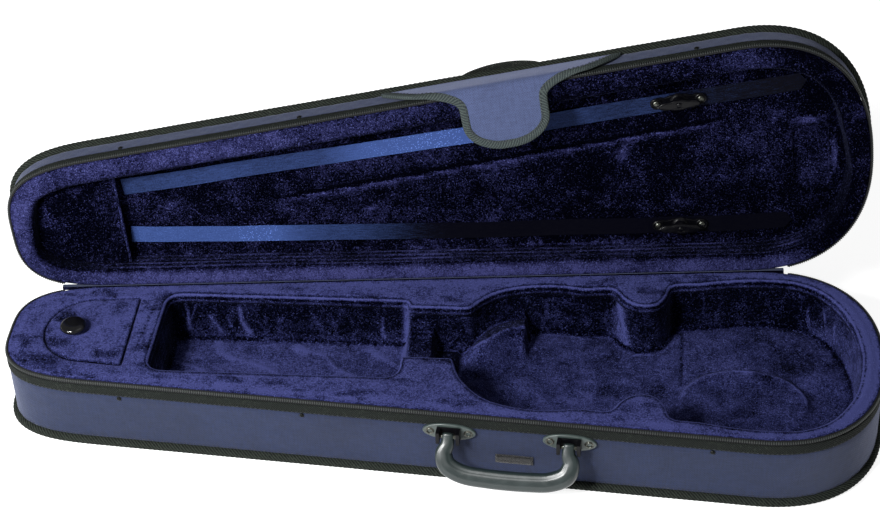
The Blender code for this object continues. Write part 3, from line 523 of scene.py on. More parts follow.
def velvet_material(name, lit, dark, painted_glint, tint=(0.45, 0.5, 1.0, 1.0), sheen=0.22, patch=17.0):
    """Short-pile velvet. The mesh's tone attribute is painted light and shade:
    1 where the pile is painted bright, 0 where it is painted in shade, in walls and creases; pale painted glints are
    mixed in."""
    g = Graph(name)
    co = g.coords()
    tone = g.node('Attribute', attribute_name='tone').outputs['Fac']
    warp = g.node('TexNoise', {'Vector': co, 'Scale': 1.0 / 24.0, 'Detail': 2.0})
    wco = g.node('VectorMath', {0: co, 1: g.node('VectorMath', {0: warp.outputs['Color'], 3: 16.0},
                                                 operation='SCALE').outputs[0]}, operation='ADD').outputs[0]
    big = g.noise(wco, patch, 4.0, 0.6, 0.5)
    wide = g.noise(co, 75.0, 2.0, 0.5)
    mid = g.noise(wco, 4.6, 3.0, 0.65, 0.6)
    nap = g.noise(co, 2.3, 3.0, 0.7)
    fine = g.noise(co, 1.15, 2.0, 0.8)
    # crushed marks of the pile, laid over the painted light and shade of tone; they show most where tone is painted
    # half bright
    f = g.m('MULTIPLY_ADD', g.m('SUBTRACT', big, 0.5), 0.90, tone)
    f = g.m('MULTIPLY_ADD', g.m('SUBTRACT', wide, 0.5), 0.45, f)
    f = g.m('MULTIPLY_ADD', g.m('SUBTRACT', mid, 0.5), 0.65, f)
    f = g.m('MULTIPLY_ADD', g.m('SUBTRACT', nap, 0.5), 0.95, f)
    f = g.m('MULTIPLY_ADD', g.m('SUBTRACT', fine, 0.5), 1.15, f)
    # the lit and dark colours are the painted bright and the painted shaded colour of the one velvet
    half = (lit[0] * 0.30 + dark[0] * 0.5, lit[1] * 0.30 + dark[1] * 0.5, lit[2] * 0.34 + dark[2] * 0.5, 1.0)
    col = g.mix(g.ramp(f, 0.0, 0.55), dark, half)
    col = g.mix(g.ramp(f, 0.42, 0.95), col, lit)
    # painted glints: sparse pale specks of fibre highlight in the base colour, more where it is painted bright
    painted_sparkle = g.m('MULTIPLY', g.ramp(fine, 0.60, 0.72), g.ramp(f, 0.10, 0.7, 0.10, 0.65))
    col = g.mix(painted_sparkle, col, painted_glint)
    n = g.bump(fine, 0.7, 0.6)
    n = g.bump(nap, 0.5, 1.0, n)
    n = g.bump(mid, 0.3, 1.6, n)
    return g.done(col, 1.0, n, Sheen_Weight=sheen, Sheen_Roughness=0.35, Sheen_Tint=tint, Specular_IOR_Level=0.0)


def herringbone_material(name, light, dark, fleck, width=10.5, rope=False, pitch=2.3, grit=1.0):
    """Twill tape: slanting ribs that turn back at the middle (chevrons), with pale flecks of yarn."""
    g = Graph(name)
    co = g.coords()
    _, s, t = g.st()
    half = width / 2.0
    tri = t if rope else g.m('ABSOLUTE', g.m('SUBTRACT', t, half))
    ph = g.m('MULTIPLY', g.m('ADD', s, g.m('MULTIPLY', tri, 1.0)), 2 * math.pi / pitch)
    rib = g.m('MULTIPLY_ADD', g.m('SINE', ph), 0.5, 0.5)
    yarn = g.m('MULTIPLY_ADD', g.m('SINE', g.m('MULTIPLY', g.m('SUBTRACT', s, g.m('MULTIPLY', tri, 0.8)), 2 * math.pi / 1.1)), 0.5, 0.5)
    grain = g.noise(co, 0.9, 2.0, 0.7)
    speck = g.noise(co, 1.5, 2.0, 0.6)
    wear = g.noise(co, 26.0, 3.0, 0.6)
    f = g.m('MULTIPLY_ADD', rib, 0.55, g.m('MULTIPLY', yarn, 0.25))
    f = g.m('MULTIPLY_ADD', g.m('SUBTRACT', grain, 0.5), 0.7, f)
    col = g.mix(g.ramp(f, 0.2, 0.75), dark, light)
    col = g.mix(g.m('MULTIPLY', g.ramp(speck, 0.56, 0.66), g.ramp(wear, 0.35, 0.7, 0.35 * grit, 0.95 * grit)), col, fleck)
    h = g.m('MULTIPLY_ADD', rib, 0.8, g.m('MULTIPLY', yarn, 0.25))
    n = g.bump(h, 0.8, 0.45)
    n = g.bump(grain, 0.4, 0.3, n)
    return g.done(col, g.ramp(grain, 0.2, 0.8, 0.8, 0.95), n, Sheen_Weight=0.0, Sheen_Roughness=0.5, Specular_IOR_Level=0.12)


def moulded_material(name, col, rough, spot=0.12, scale=3.0, **kw):
    """Moulded plastic: faint orange peel, finger marks and rubbed spots."""
    g = Graph(name)
    co = g.coords()
    peel = g.noise(co, scale * 0.35, 2.0, 0.5)
    mark = g.noise(co, 14.0, 4.0, 0.6, 0.6)
    rub = g.noise(co, 4.0, 4.0, 0.65)
    c = g.mix(g.ramp(mark, 0.35, 0.75, 0.0, 0.45), col, tuple(min(1.0, v * 1.7 + 0.004) for v in col[:3]) + (1.0,))
    c = g.mix(g.ramp(rub, 0.62, 0.75, 0.0, 0.35), c, tuple(v * 0.5 for v in col[:3]) + (1.0,))
    r = g.m('ADD', g.ramp(mark, 0.3, 0.8, rough - spot * 0.4, rough + spot), g.ramp(rub, 0.5, 0.8, 0.0, 0.08))
    n = g.bump(peel, 0.25, 0.08)
    return g.done(c, r, n, **kw)


def metal_material(name, col, dark, rough=0.3):
    """Plated metal: brushed streaks, and dull, tarnished spots."""
    g = Graph(name)
    co = g.coords()
    streak = g.noise(g.node('VectorMath', {0: co, 1: (0.25, 3.0, 3.0)}, operation='MULTIPLY').outputs[0], 0.8, 3.0, 0.6)
    spot = g.noise(co, 2.2, 4.0, 0.6)
    c = g.mix(g.ramp(spot, 0.42, 0.72), col, dark)
    r = g.m('ADD', g.ramp(streak, 0.2, 0.8, rough - 0.08, rough + 0.12), g.ramp(spot, 0.5, 0.8, 0.0, 0.25))
    return g.done(c, r, g.bump(streak, 0.15, 0.06), Metallic=0.95)


def fuzzy_material(name, light, dark):
    """Hook-and-loop pile."""
    g = Graph(name)
    co = g.coords()
    v = g.node('TexVoronoi', {'Vector': co, 'Scale': 1.25}).outputs['Distance']
    grain = g.noise(co, 0.7, 3.0, 0.7)
    lump = g.noise(co, 5.0, 3.0, 0.6)
    f = g.m('MULTIPLY_ADD', grain, 0.8, g.m('MULTIPLY', v, 0.5))
    col = g.mix(g.ramp(f, 0.3, 0.95), dark, light)
    col = g.mix(g.ramp(lump, 0.4, 0.7, 0.0, 0.5), col, dark)
    return g.done(col, 0.95, g.bump(f, 0.9, 0.7), Sheen_Weight=0.3, Specular_IOR_Level=0.2)


def satin_material(name, light, dark):
    """Satin ribbon: fine ribs across, painted wavy reflections along it, painted light and shade from the tone
    attribute, and painted sparkles.
    """
    g = Graph(name)
    co = g.coords()
    _, s, t = g.st()
    rib = g.m('MULTIPLY_ADD', g.m('SINE', g.m('MULTIPLY', t, 2 * math.pi / 0.9)), 0.5, 0.5)
    streak = g.noise(g.node('CombineXYZ', {0: g.m('MULTIPLY', s, 0.25), 1: g.m('MULTIPLY', t, 2.0), 2: 0.0}).outputs[0], 2.6, 4.0, 0.65)
    painted_reflection_wave = g.noise(g.node('CombineXYZ', {0: s, 1: g.m('MULTIPLY', t, 0.5), 2: 7.0}).outputs[0], 60.0, 2.0, 0.5)
    painted_sparkle = g.node('TexVoronoi', {'Vector': co, 'Scale': 0.60}).outputs['Distance']
    tone = g.node('Attribute', attribute_name='tone').outputs['Fac']
    # painted reflections: streaks and slow swells along the ribbon, over the painted light and shade of tone
    f = g.m('MULTIPLY_ADD', g.m('SUBTRACT', streak, 0.5), 0.6, g.m('MULTIPLY_ADD', g.m('SUBTRACT', painted_reflection_wave, 0.5), 0.3, tone))
    grit = g.noise(co, 0.9, 2.0, 0.75)
    f = g.m('MULTIPLY_ADD', g.m('SUBTRACT', grit, 0.5), 0.7, f)
    col = g.mix(g.ramp(f, 0.0, 1.0), dark, light)
    # painted sparkles, only where tone is painted brightest
    col = g.mix(g.m('MULTIPLY', g.ramp(painted_sparkle, 0.10, 0.34, 1.0, 0.0), g.ramp(tone, 0.66, 1.10)), col, tuple(min(1.0, v * 3.4 + 0.02) for v in light[:3]) + (1.0,))
    n = g.bump(rib, 0.35, 0.12)
    n = g.bump(streak, 0.5, 0.5, n)
    r = g.ramp(streak, 0.25, 0.75, 0.5, 0.7)
    return g.done(col, r, n, Sheen_Weight=0.1, Sheen_Roughness=0.3, Sheen_Tint=(0.4, 0.5, 1.0, 1.0), Specular_IOR_Level=0.06)


def board_material(name):
    """Pressed fibre board."""
    g = Graph(name)
    co = g.coords()
    fib = g.noise(g.node('VectorMath', {0: co, 1: (0.3, 1.0, 2.0)}, operation='MULTIPLY').outputs[0], 2.0, 4.0, 0.7)
    blot = g.noise(co, 18.0, 3.0, 0.5)
    col = g.mix(g.ramp(fib, 0.3, 0.7), rgb(120, 108, 92), rgb(158, 146, 126))
    col = g.mix(g.ramp(blot, 0.4, 0.7, 0.0, 0.4), col, rgb(100, 88, 74))
    return g.done(col, 0.9, g.bump(fib, 0.5, 0.4))


def tape_material(name, light, dark):
    """Knitted zip tape."""
    g = Graph(name)
    co = g.coords()
    _, s, t = g.st()
    knit = g.m('MULTIPLY', g.m('SINE', g.m('MULTIPLY', s, 2 * math.pi / 1.3)), g.m('SINE', g.m('MULTIPLY', t, 2 * math.pi / 0.9)))
    grain = g.noise(co, 0.8, 2.0, 0.7)
    f = g.m('MULTIPLY_ADD', knit, 0.3, grain)
    return g.done(g.mix(g.ramp(f, 0.2, 0.8), dark, light), 0.85, g.bump(f, 0.6, 0.3), Specular_IOR_Level=0.3)


M_CANVAS = canvas_material('canvas_blue', rgb(24, 36, 67), rgb(8, 14, 28))
M_CANVAS_PLAIN = canvas_material('canvas_blue_flat', rgb(24, 36, 67), rgb(8, 14, 28), use_st=False)
M_FLAP = canvas_material('canvas_flap', rgb(68, 78, 112), rgb(43, 50, 75), pitch=1.2, wear=0.15)
# velvet colours: painted bright, painted shade and painted glints
M_VELVET = velvet_material('velvet_blue', rgb(58, 62, 110), rgb(1, 1, 6), rgb(96, 104, 160), sheen=0.06)
M_VELVET_LID = velvet_material('velvet_lid', rgb(58, 60, 106), rgb(1, 1, 5), rgb(90, 96, 150), sheen=0.04, patch=26.0)
M_BINDING = herringbone_material('tape_herringbone', rgb(34, 39, 36), rgb(5, 6, 7), rgb(64, 70, 62), grit=0.45)
M_ROPE = herringbone_material('cord_twill', rgb(44, 50, 44), rgb(7, 8, 8), rgb(66, 72, 64), rope=True, pitch=3.2, grit=0.4)
M_HEM = herringbone_material('tape_flap', rgb(66, 74, 72), rgb(40, 46, 48), rgb(92, 100, 96), pitch=2.6, grit=0.4)
M_WEB = herringbone_material('strap_webbing', rgb(40, 44, 41), rgb(9, 10, 10), rgb(84, 88, 80), width=20.0)
M_TAPE = tape_material('zip_tape', rgb(20, 22, 25), rgb(4, 4, 5))
M_TEETH = moulded_material('zip_teeth', rgb(42, 46, 45), 0.42, Specular_IOR_Level=0.5)
M_BLACK = moulded_material('plastic_black', rgb(4, 4, 7), 0.30, spot=0.05, Specular_IOR_Level=0.16)
M_KNOB = moulded_material('knob_black', rgb(10, 10, 12), 0.10, spot=0.05)
M_HANDLE = moulded_material('plastic_handle', rgb(24, 34, 34), 0.34, spot=0.05, Specular_IOR_Level=0.7)
M_STEEL = metal_material('steel_plated', rgb(96, 98, 92), rgb(44, 43, 39))
M_PLATE = moulded_material('plastic_bracket', rgb(48, 58, 56), 0.3, spot=0.05, Specular_IOR_Level=0.6)
M_HOOKS = fuzzy_material('hook_pile', rgb(14, 15, 18), rgb(2, 2, 3))
M_NAIL = metal_material('steel_dark', rgb(34, 36, 34), rgb(14, 14, 13), 0.4)
# satin colours: the light one is the painted reflection, the near-black one the painted shade
M_SATIN = satin_material('satin_ribbon', rgb(50, 69, 120), rgb(1, 1, 9))
M_BOARD = board_material('fibre_board')
M_THREAD = fuzzy_material('stitch_thread', rgb(44, 48, 62), rgb(14, 16, 24))


def paint(node, mat):
    """Gives a CAD node a procedural material."""
    o = frame['nodes'][node]
    o.data.materials.clear()
    o.data.materials.append(mat)
    for p in o.data.polygons:
        p.material_index = 0


# ================================================================ camera, light, floor
def camera():
    a, e, r = math.radians(6.312), math.radians(38.140), math.radians(-2.346)
    back = Vector((math.sin(a) * math.cos(e), -math.cos(a) * math.cos(e), math.sin(e)))
    xc = Vector((0, 0, 1)).cross(back).normalized()
    yc = back.cross(xc)
    xr = math.cos(r) * xc + math.sin(r) * yc
    yr = -math.sin(r) * xc + math.cos(r) * yc
    loc = Vector((0.1736, -1.5329, 1.3868))
    cam = bpy.data.cameras.new('camera')
    cam.sensor_width = 36.0
    cam.lens = 89.9
    cam.clip_start, cam.clip_end = 0.05, 50.0
    cam.shift_x = (440.0 - 440.75) / 880.0
    cam.shift_y = (258.28 - 260.0) / 880.0
    obj = bpy.data.objects.new('camera', cam)
    obj.matrix_world = Matrix(((xr[0], yr[0], back[0], loc[0]), (xr[1], yr[1], back[1], loc[1]),
                               (xr[2], yr[2], back[2], loc[2]), (0, 0, 0, 1)))
    bpy.context.scene.collection.objects.link(obj)
    bpy.context.scene.camera = obj


def area_light(name, loc, target, size, power, color=(1, 1, 1)):
    lamp = bpy.data.lights.new(name, 'AREA')
    lamp.shape = 'RECTANGLE'
    lamp.size, lamp.size_y = size
    lamp.energy = power
    lamp.color = color
    obj = bpy.data.objects.new(name, lamp)
    d = Vector(target) - Vector(loc)
    obj.location = loc
    obj.rotation_mode = 'QUATERNION'
    obj.rotation_quaternion = d.to_track_quat('-Z', 'Y')
    bpy.context.scene.collection.objects.link(obj)


def studio():
    scene = bpy.context.scene
    scene.view_settings.view_transform = 'Standard'
    world = bpy.data.worlds.new('studio')
    world.use_nodes = True
    scene.world = world
    bg = next(n for n in world.node_tree.nodes if n.type == 'BACKGROUND')
    bg.inputs['Color'].default_value = (1.0, 1.0, 1.0, 1.0)
    bg.inputs['Strength'].default_value = 0.19
    area_light('key', (-0.80, -1.15, 1.28), (0.0, 0.0, 0.08), (0.34, 0.34), 47.0)
    area_light('side', (-0.95, -0.80, 0.60), (-0.30, -0.12, 0.05), (0.3, 0.3), 8.0)
    area_light('fill', (1.2, -0.4, 2.4), (0.3, 0.3, 0.0), (1.8, 1.4), 5.0)
    g = Graph('floor_white')
    co = g.coords()
    tone = g.noise(co, 400.0, 2.0, 0.5)
    g.done(g.mix(tone, (0.52, 0.52, 0.52, 1), (0.56, 0.56, 0.56, 1)), 0.9, Emission_Color=(1, 1, 1, 1), Emission_Strength=0.82)
    mesh = bpy.data.meshes.new('floor')
    n, half = 8, 6.0
    vs = [(-half + 2 * half * i / n, -half + 2 * half * j / n, -0.0002) for j in range(n + 1) for i in range(n + 1)]
    fs = [(j * (n + 1) + i, j * (n + 1) + i + 1, (j + 1) * (n + 1) + i + 1, (j + 1) * (n + 1) + i)
          for j in range(n) for i in range(n)]
    mesh.from_pydata(vs, [], fs)
    mesh.materials.append(g.mat)
    floor = bpy.data.objects.new('floor', mesh)
    bpy.context.scene.collection.objects.link(floor)


camera()
studio()

for name, mat in (('base_shell', M_BOARD), ('lid_shell', M_BOARD), ('base_insert', M_VELVET), ('neck_rest', M_VELVET),
                  ('upper_bout_pad_back', M_VELVET), ('upper_bout_pad_front', M_VELVET), ('lower_bout_pad', M_VELVET),
                  ('accessory_lid', M_VELVET), ('accessory_knob', M_KNOB), ('lid_lining', M_VELVET_LID),
                  ('bow_tip_pocket', M_VELVET_LID), ('base_bottom_cover', M_CANVAS_PLAIN), ('lid_top_cover', M_CANVAS_PLAIN)):
    paint(name, mat)
for name in frame['nodes']:
    if 'rivet' in name or 'stud' in name or 'screw' in name or 'slider' in name or 'pull_tab' in name:
        paint(name, M_STEEL)
    elif 'spinner' in name or 'clevis' in name:
        paint(name, M_BLACK)

# ================================================================ canvas covers, piping, tapes and zip
def plate(name, inward, z, thick, up, mat, body, node, lid=False, swell=0.5, step=9.0):
    """Flat cloth cover: a filled outline with slight slack, and its own thickness. up is the side that shows."""
    loop = ring(inward, 0.0, LOOP_S[::2])[:, :2]
    pts2, tri = fill([loop], step)
    n = len(pts2)
    edge = smooth01(0.0, 14.0, near(loop, pts2))
    lift = swell * edge * (0.55 + 0.6 * fbm(pts2[:, 0] / 70.0, pts2[:, 1] / 55.0, 5))
    face = np.column_stack([pts2, z + up * lift])
    rear = np.column_stack([pts2, np.full(n, z - up * thick) + up * lift * 0.0])
    m = len(loop)
    faces = [t for t in tri] + [tuple(n + i for i in t[::-1]) for t in tri]
    faces += [(i, (i + 1) % m, n + (i + 1) % m, n + i) for i in range(m)]
    return make(name, np.vstack([face, rear]), faces, mat, body, node=node, lid=lid, slot='blue_canvas',
                st=np.vstack([pts2, pts2]))


def side_cover(name, z0, z1, mat, body, node, lid=False, seed=1):
    outer = [(0.0, z) for z in np.linspace(z0, z1, 16)]
    prof = [(0.35, z0)] + [(o, z) for o, z in outer[1:-1]] + [(0.35, z1), (CANVAS, z1), (CANVAS, z0)]
    n_out = 16
    zm, zh = 0.5 * (z0 + z1), 0.5 * (z1 - z0)

    def amp(s, i, z):
        if i >= n_out:
            return 0.0
        ease = 1.0 - ((z - zm) / zh) ** 4
        sag = 0.34 * fbm(s / 46.0, z / 26.0, seed) + 0.16 * fbm(s / 14.0, z / 30.0, seed + 3)
        pucker = 0.22 * np.sin(s / 2.6 + 1.3 * np.sin(s / 37.0)) * (bump_fn(z - z0 - 2.0, 7.0) + bump_fn(z1 - 2.0 - z, 7.0))
        return ease * sag + pucker * 0.6
    return band(name, prof, mat, body, node=node, lid=lid, amp=amp, slot='blue_canvas', smooth=60)


def piping(name, z_low, z_high, body, node, lid=False):
    mid, r = 0.5 * (z_low + z_high), 0.5 * (z_high - z_low)
    prof = [(CANVAS, z_low)]
    steps = 13
    for i in range(steps):
        a = math.radians(-88 + 176.0 * i / (steps - 1))
        prof.append((-r * math.cos(a), mid + r * math.sin(a) * 0.98))
    prof.append((CANVAS, z_high))
    fine = np.linspace(0.0, ROUND, 2700, endpoint=False)
    p = np.array(prof)
    n = len(p)
    rings = np.zeros((len(fine), n, 3))
    turns = 2 * math.pi * round(ROUND / 4.6) / ROUND
    for i, (o, z) in enumerate(p):
        lay = 0.20 * np.sin(turns * fine + 0.42 * i) if 0 < i < n - 1 else 0.0
        rings[:, i] = ring(o - lay + 0.25 * fbm(fine / 60.0, 0.1 * i, 9), z, fine)
    pts, faces = loft(rings, wrap=True)
    length = np.concatenate([[0.0], np.cumsum(np.linalg.norm(np.diff(p, axis=0), axis=1))])
    st = np.stack([np.repeat(fine, n), np.tile(length, len(fine))], -1)
    return make(name, pts, faces, M_ROPE, body, node=node, lid=lid, slot='herringbone_binding', st=st, smooth=60)


def tape_band(name, z0, z1, body, node, lid=False, seed=2):
    """Herringbone tape, a little crowned, its edges turned in."""
    zs = np.linspace(z0 + 0.35, z1 - 0.35, 9)
    crown = [-0.55 - 0.45 * (1 - (2 * (z - z0) / (z1 - z0) - 1) ** 4) for z in zs]
    prof = [(CANVAS, z0), (0.0, z0)] + list(zip(crown, zs)) + [(0.0, z1), (CANVAS, z1)]

    def amp(s, i, z):
        if i in (0, 1, 11, 12):
            return 0.0
        return 0.14 * fbm(s / 25.0, z / 6.0, seed) + 0.05 * np.sin(s * 2 * math.pi / 4.0)
    return band(name, prof, M_BINDING, body, run=True, node=node, lid=lid, amp=amp, slot='herringbone_binding', smooth=50)


def dashes(name, centres, along, outs, mat, body, length=2.6, half=0.32, rise=0.35, lid=False, blend=None, slot=None):
    """Row of stitches: short rounded lengths of thread, half sunk in the cloth."""
    centres, along, outs = (np.asarray(a, float) for a in (centres, along, outs))
    side = np.cross(along, outs)
    pts, faces = [], []
    sect = [(-1.0, -0.4), (-0.7, 0.7), (0.0, 1.0), (0.7, 0.7), (1.0, -0.4)]
    stations = [(-0.5, 0.25), (-0.36, 0.8), (0.0, 1.0), (0.36, 0.8), (0.5, 0.25)]
    for c, a, o, w in zip(centres, along, outs, side):
        rings = [[c + a * (u * length) + w * (half * k * x) + o * (rise * k * y) for x, y in sect] for u, k in stations]
        p, f = loft(rings)
        base = len(pts) * 25
        pts.append(p)
        faces += [tuple(base + i for i in q) for q in f]
    return make(name, np.vstack(pts), faces, mat, body, lid=lid, slot=slot, smooth=60, fix=False)


def outline_stitches(name, z, off, pitch, mat, body, lid=False, run=True, slot=None, **kw):
    s = np.arange(ZIP_START + 3.0, ZIP_END - 3.0, pitch) if run else np.arange(0.0, ROUND - pitch, pitch)
    o = outward(s)
    c = np.column_stack([points_at(s) - off * o, np.full(len(s), z)])
    out = np.column_stack([o, np.zeros(len(s))])
    along = np.column_stack([-o[:, 1], o[:, 0], np.zeros(len(s))])
    return dashes(name, c, along, out, mat, body, lid=lid, slot=slot, **kw)


def zip_teeth(name, z, tall, body, lid=False, phase=0.0, node=()):
    """Moulded teeth clamped on the tape's cord, one every 2.1 mm."""
    s = np.arange(ZIP_START + 1.5 + phase, ZIP_END - 1.5, 2.1)
    o = outward(s)
    p = points_at(s)
    a = np.stack([-o[:, 1], o[:, 0]], -1)
    pts, faces = [], []
    shape = [(-0.5, 1.0, -0.1), (-0.5, 0.8, 1.0), (-0.3, 0.45, 1.35), (0.3, 0.45, 1.35), (0.5, 0.8, 1.0), (0.5, 1.0, -0.1)]
    for i in range(len(s)):
        rings = []
        for du in (-1.0, 1.0):
            rings.append([(p[i, 0] + a[i, 0] * 0.62 * du * k + o[i, 0] * w, p[i, 1] + a[i, 1] * 0.62 * du * k + o[i, 1] * w,
                           z + v * tall) for v, k, w in shape])
        q, f = loft(rings)
        pts.append(q)
        faces += [tuple(12 * i + j for j in t) for t in f]
    return make(name, np.vstack(pts), faces, M_TEETH, body, lid=lid, slot='zipper_metal', smooth=30, fix=False, node=node)


base_canvas = side_cover('base_canvas', 2 * PIPING + GAP - 0.2, BINDING_BASE[0] + 0.2, M_CANVAS, 'base', 'base_side_cover')
base_under = plate('base_underside', WALL_IN, 0.0, CANVAS, -1.0, M_CANVAS, 'base', 'base_bottom_cover', swell=0.0)
piping('base_piping', 0.0, 2 * PIPING, 'base', 'base_bottom_piping')
base_tape = tape_band('base_tape', *BINDING_BASE, 'base', 'base_binding')
zip_prof = [(CANVAS, 72.4), (0.1, 72.4), (-0.1, 73.4), (-0.1, 76.9), (0.3, 77.4), (CANVAS, 77.4)]
base_zip = band('base_zip_tape', zip_prof, M_TAPE, 'base', run=True, node='base_zipper_chain', slot='zipper_tape')
zip_teeth('base_zip_teeth', 75.6, 2.5, 'base')
outline_stitches('base_tape_stitches', BINDING_BASE[0] + 1.3, -0.65, 4.2, M_THREAD, 'base', slot='herringbone_binding')
outline_stitches('base_piping_stitches', 10.6, 0.05, 4.4, M_THREAD, 'base', run=False, slot='blue_canvas')

lid_canvas = side_cover('lid_canvas', R + BINDING_LID[1] - 0.1, TOP - 2 * PIPING + 0.1, M_CANVAS, 'lid', 'lid_side_cover', lid=True, seed=31)
lid_outside = plate('lid_outside', WALL_IN, TOP, CANVAS, 1.0, M_CANVAS, 'lid', 'lid_top_cover', lid=True, swell=1.1)
piping('lid_piping', TOP - 2 * PIPING, TOP, 'lid', 'lid_top_piping', lid=True)
lid_tape = tape_band('lid_tape', R + BINDING_LID[0], R + BINDING_LID[1], 'lid', 'lid_binding', lid=True, seed=12)
lid_prof = [(CANVAS, R + 0.6), (0.3, R + 0.6), (-0.1, R + 1.1), (-0.1, R + 4.6), (0.1, R + 5.4), (CANVAS, R + 5.4)]
lid_zip = band('lid_zip_tape', lid_prof, M_TAPE, 'lid', run=True, node='lid_zipper_chain', lid=True, slot='zipper_tape')
zip_teeth('lid_zip_teeth', R + 2.5, 2.5, 'lid', lid=True, phase=1.05)
outline_stitches('lid_tape_stitches', R + BINDING_LID[1] - 1.3, -0.65, 4.2, M_THREAD, 'lid', lid=True, slot='herringbone_binding')


# canvas hinge along the back: down the base wall, round the fold, up the lid's wall
def hinge_strip():
    bend = math.radians(OPEN_ANGLE)
    t = CANVAS
    lean = np.array([math.sin(bend), math.cos(bend)])
    # beyond the zip's ends only a narrow fold of the strip goes on
    xs = np.concatenate([np.linspace(-368.0, -350.1, 6), np.linspace(-350.0, 306.0, 220), np.linspace(306.1, 318.0, 6)])
    back_out = np.array([-math.sin(TAPER), math.cos(TAPER), 0.0])
    rings, sts = [], []
    for x in xs:
        full = -350.05 < x < 306.05
        low, high = (R - BINDING_BASE[0], BINDING_LID[1]) if full else (4.0, 4.6)
        path = np.array([(0.0, -low * (1 - k / 12.0)) for k in range(13)] + [tuple(lean * high * k / 12.0) for k in range(1, 13)])
        d = np.gradient(path, axis=0)
        d /= np.linalg.norm(d, axis=1)[:, None]
        for _ in range(2):
            d[1:-1] = d[:-2] + d[1:-1] + d[2:]
            d /= np.linalg.norm(d, axis=1)[:, None]
        nor = np.stack([d[:, 1], -d[:, 0]], 1)
        arcl = np.concatenate([[0.0], np.cumsum(np.linalg.norm(np.diff(path, axis=0), axis=1))])
        origin = np.array(HINGE_POINT) + np.array(HINGE_DIR) * (x / math.cos(TAPER))
        ripple = 0.35 * bump_fn(arcl - low, 9.0) * fbm(np.full(len(arcl), x / 9.0), arcl / 12.0, 41)
        inner = path + nor * 0.05
        outer = path + nor * (t + ripple)[:, None]
        sect = np.vstack([inner, outer[::-1]])
        rings.append(origin + sect[:, :1] * back_out + sect[:, 1:] * np.array([0, 0, 1.0]))
        sts.append(np.stack([np.full(len(sect), x), np.concatenate([arcl, arcl[::-1]])], -1))
    pts, faces = loft(rings)
    o = make('hinge_strip', pts, faces, M_CANVAS, None, node='hinge_canvas', slot='blue_canvas', st=np.vstack(sts), smooth=70)
    # the velvet of the insert and the lining is turned over the inside of the strip; with no tone attribute it takes
    # tone 0 there, painted in full shade as a dark line between lid and base
    o.data.materials.append(M_VELVET)
    for f in o.data.polygons:
        if f.normal.y < -0.25:
            f.material_index = 1
    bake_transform(o)
    return o


hinge = hinge_strip()

# ================================================================ velvet insert of the base
FLOOR_BODY, FLOOR_SCROLL, FLOOR_NECK, FLOOR_WELL, SADDLE, LEDGE = 24.0, 27.0, 30.0, 24.0, 54.0, 73.4
BODY_STATIONS = [(13, 19), (20, 42), (30, 58), (44, 72), (60, 80), (84, 85.5), (108, 86), (130, 83), (148, 85), (158, 84),
                 (167, 71), (177, 63), (189, 61), (200, 65), (208, 78), (213, 92), (238, 95.5), (268, 101), (298, 103.5),
                 (326, 101.5), (348, 91), (364, 73), (376, 48), (382, 22), (384, 0)]


def cavity_loop():
    """Scroll box, neck channel and body in one outline, corners softened."""
    side = smooth_path(BODY_STATIONS, 400)
    side = side[side[:, 0] >= 13.0]
    front = [(x, -y) for x, y in side if y > 20.0 or x > 100.0]
    back = [(x, y) for x, y in side if y > 50.0 or x > 100.0]

    def corner(cx, cy, r, a0, a1, n=10):
        return [(cx + r * math.cos(math.radians(a)), cy + r * math.sin(math.radians(a))) for a in np.linspace(a0, a1, n)]
    pts = [(-34.5, -20.0), (13.3, -20.0)] + front + back[::-1] + [(back[0][0], 50.0), (-34.5, 50.0), (-34.5, 56.0)]
    pts += corner(-36.5, 56.0, 2.0, 0, 90, 4) + corner(-251.0, 45.0, 13.0, 90, 180) + corner(-252.5, -36.0, 13.0, 180, 270)
    pts += corner(-47.5, -36.0, 13.0, 270, 360)
    lp = resample(np.array(pts), 0.8)
    return resample(soften(lp, 2.6, 0.8), 1.5)


def well_outline(grow):
    x1, half, mid = -294.5 + grow, 43.5 + grow, 3.0
    pts = [(x1, mid - half), (x1, mid + half)]
    arc = [math.radians(90.0 * i / 24.0) for i in range(25)]
    pts += [(-328.0 - (38.0 + grow) * math.sin(a), mid + (half - 4.0) * math.cos(a)) for a in arc]
    pts += [(-328.0 - (38.0 + grow) * math.sin(a), mid - (half - 4.0) * math.cos(a)) for a in arc[::-1]]
    lp = resample(np.array(pts), 0.6)
    return resample(soften(lp, 1.6, 0.6), 2.0)


def normals(loop):
    t = np.roll(loop, -2, 0) - np.roll(loop, 2, 0)
    t /= np.linalg.norm(t, axis=1)[:, None]
    area = 0.5 * float(np.sum(loop[:, 0] * np.roll(loop[:, 1], -1) - np.roll(loop[:, 0], -1) * loop[:, 1]))
    return np.stack([t[:, 1], -t[:, 0]], 1) * (1.0 if area > 0 else -1.0)     # away from the enclosed area


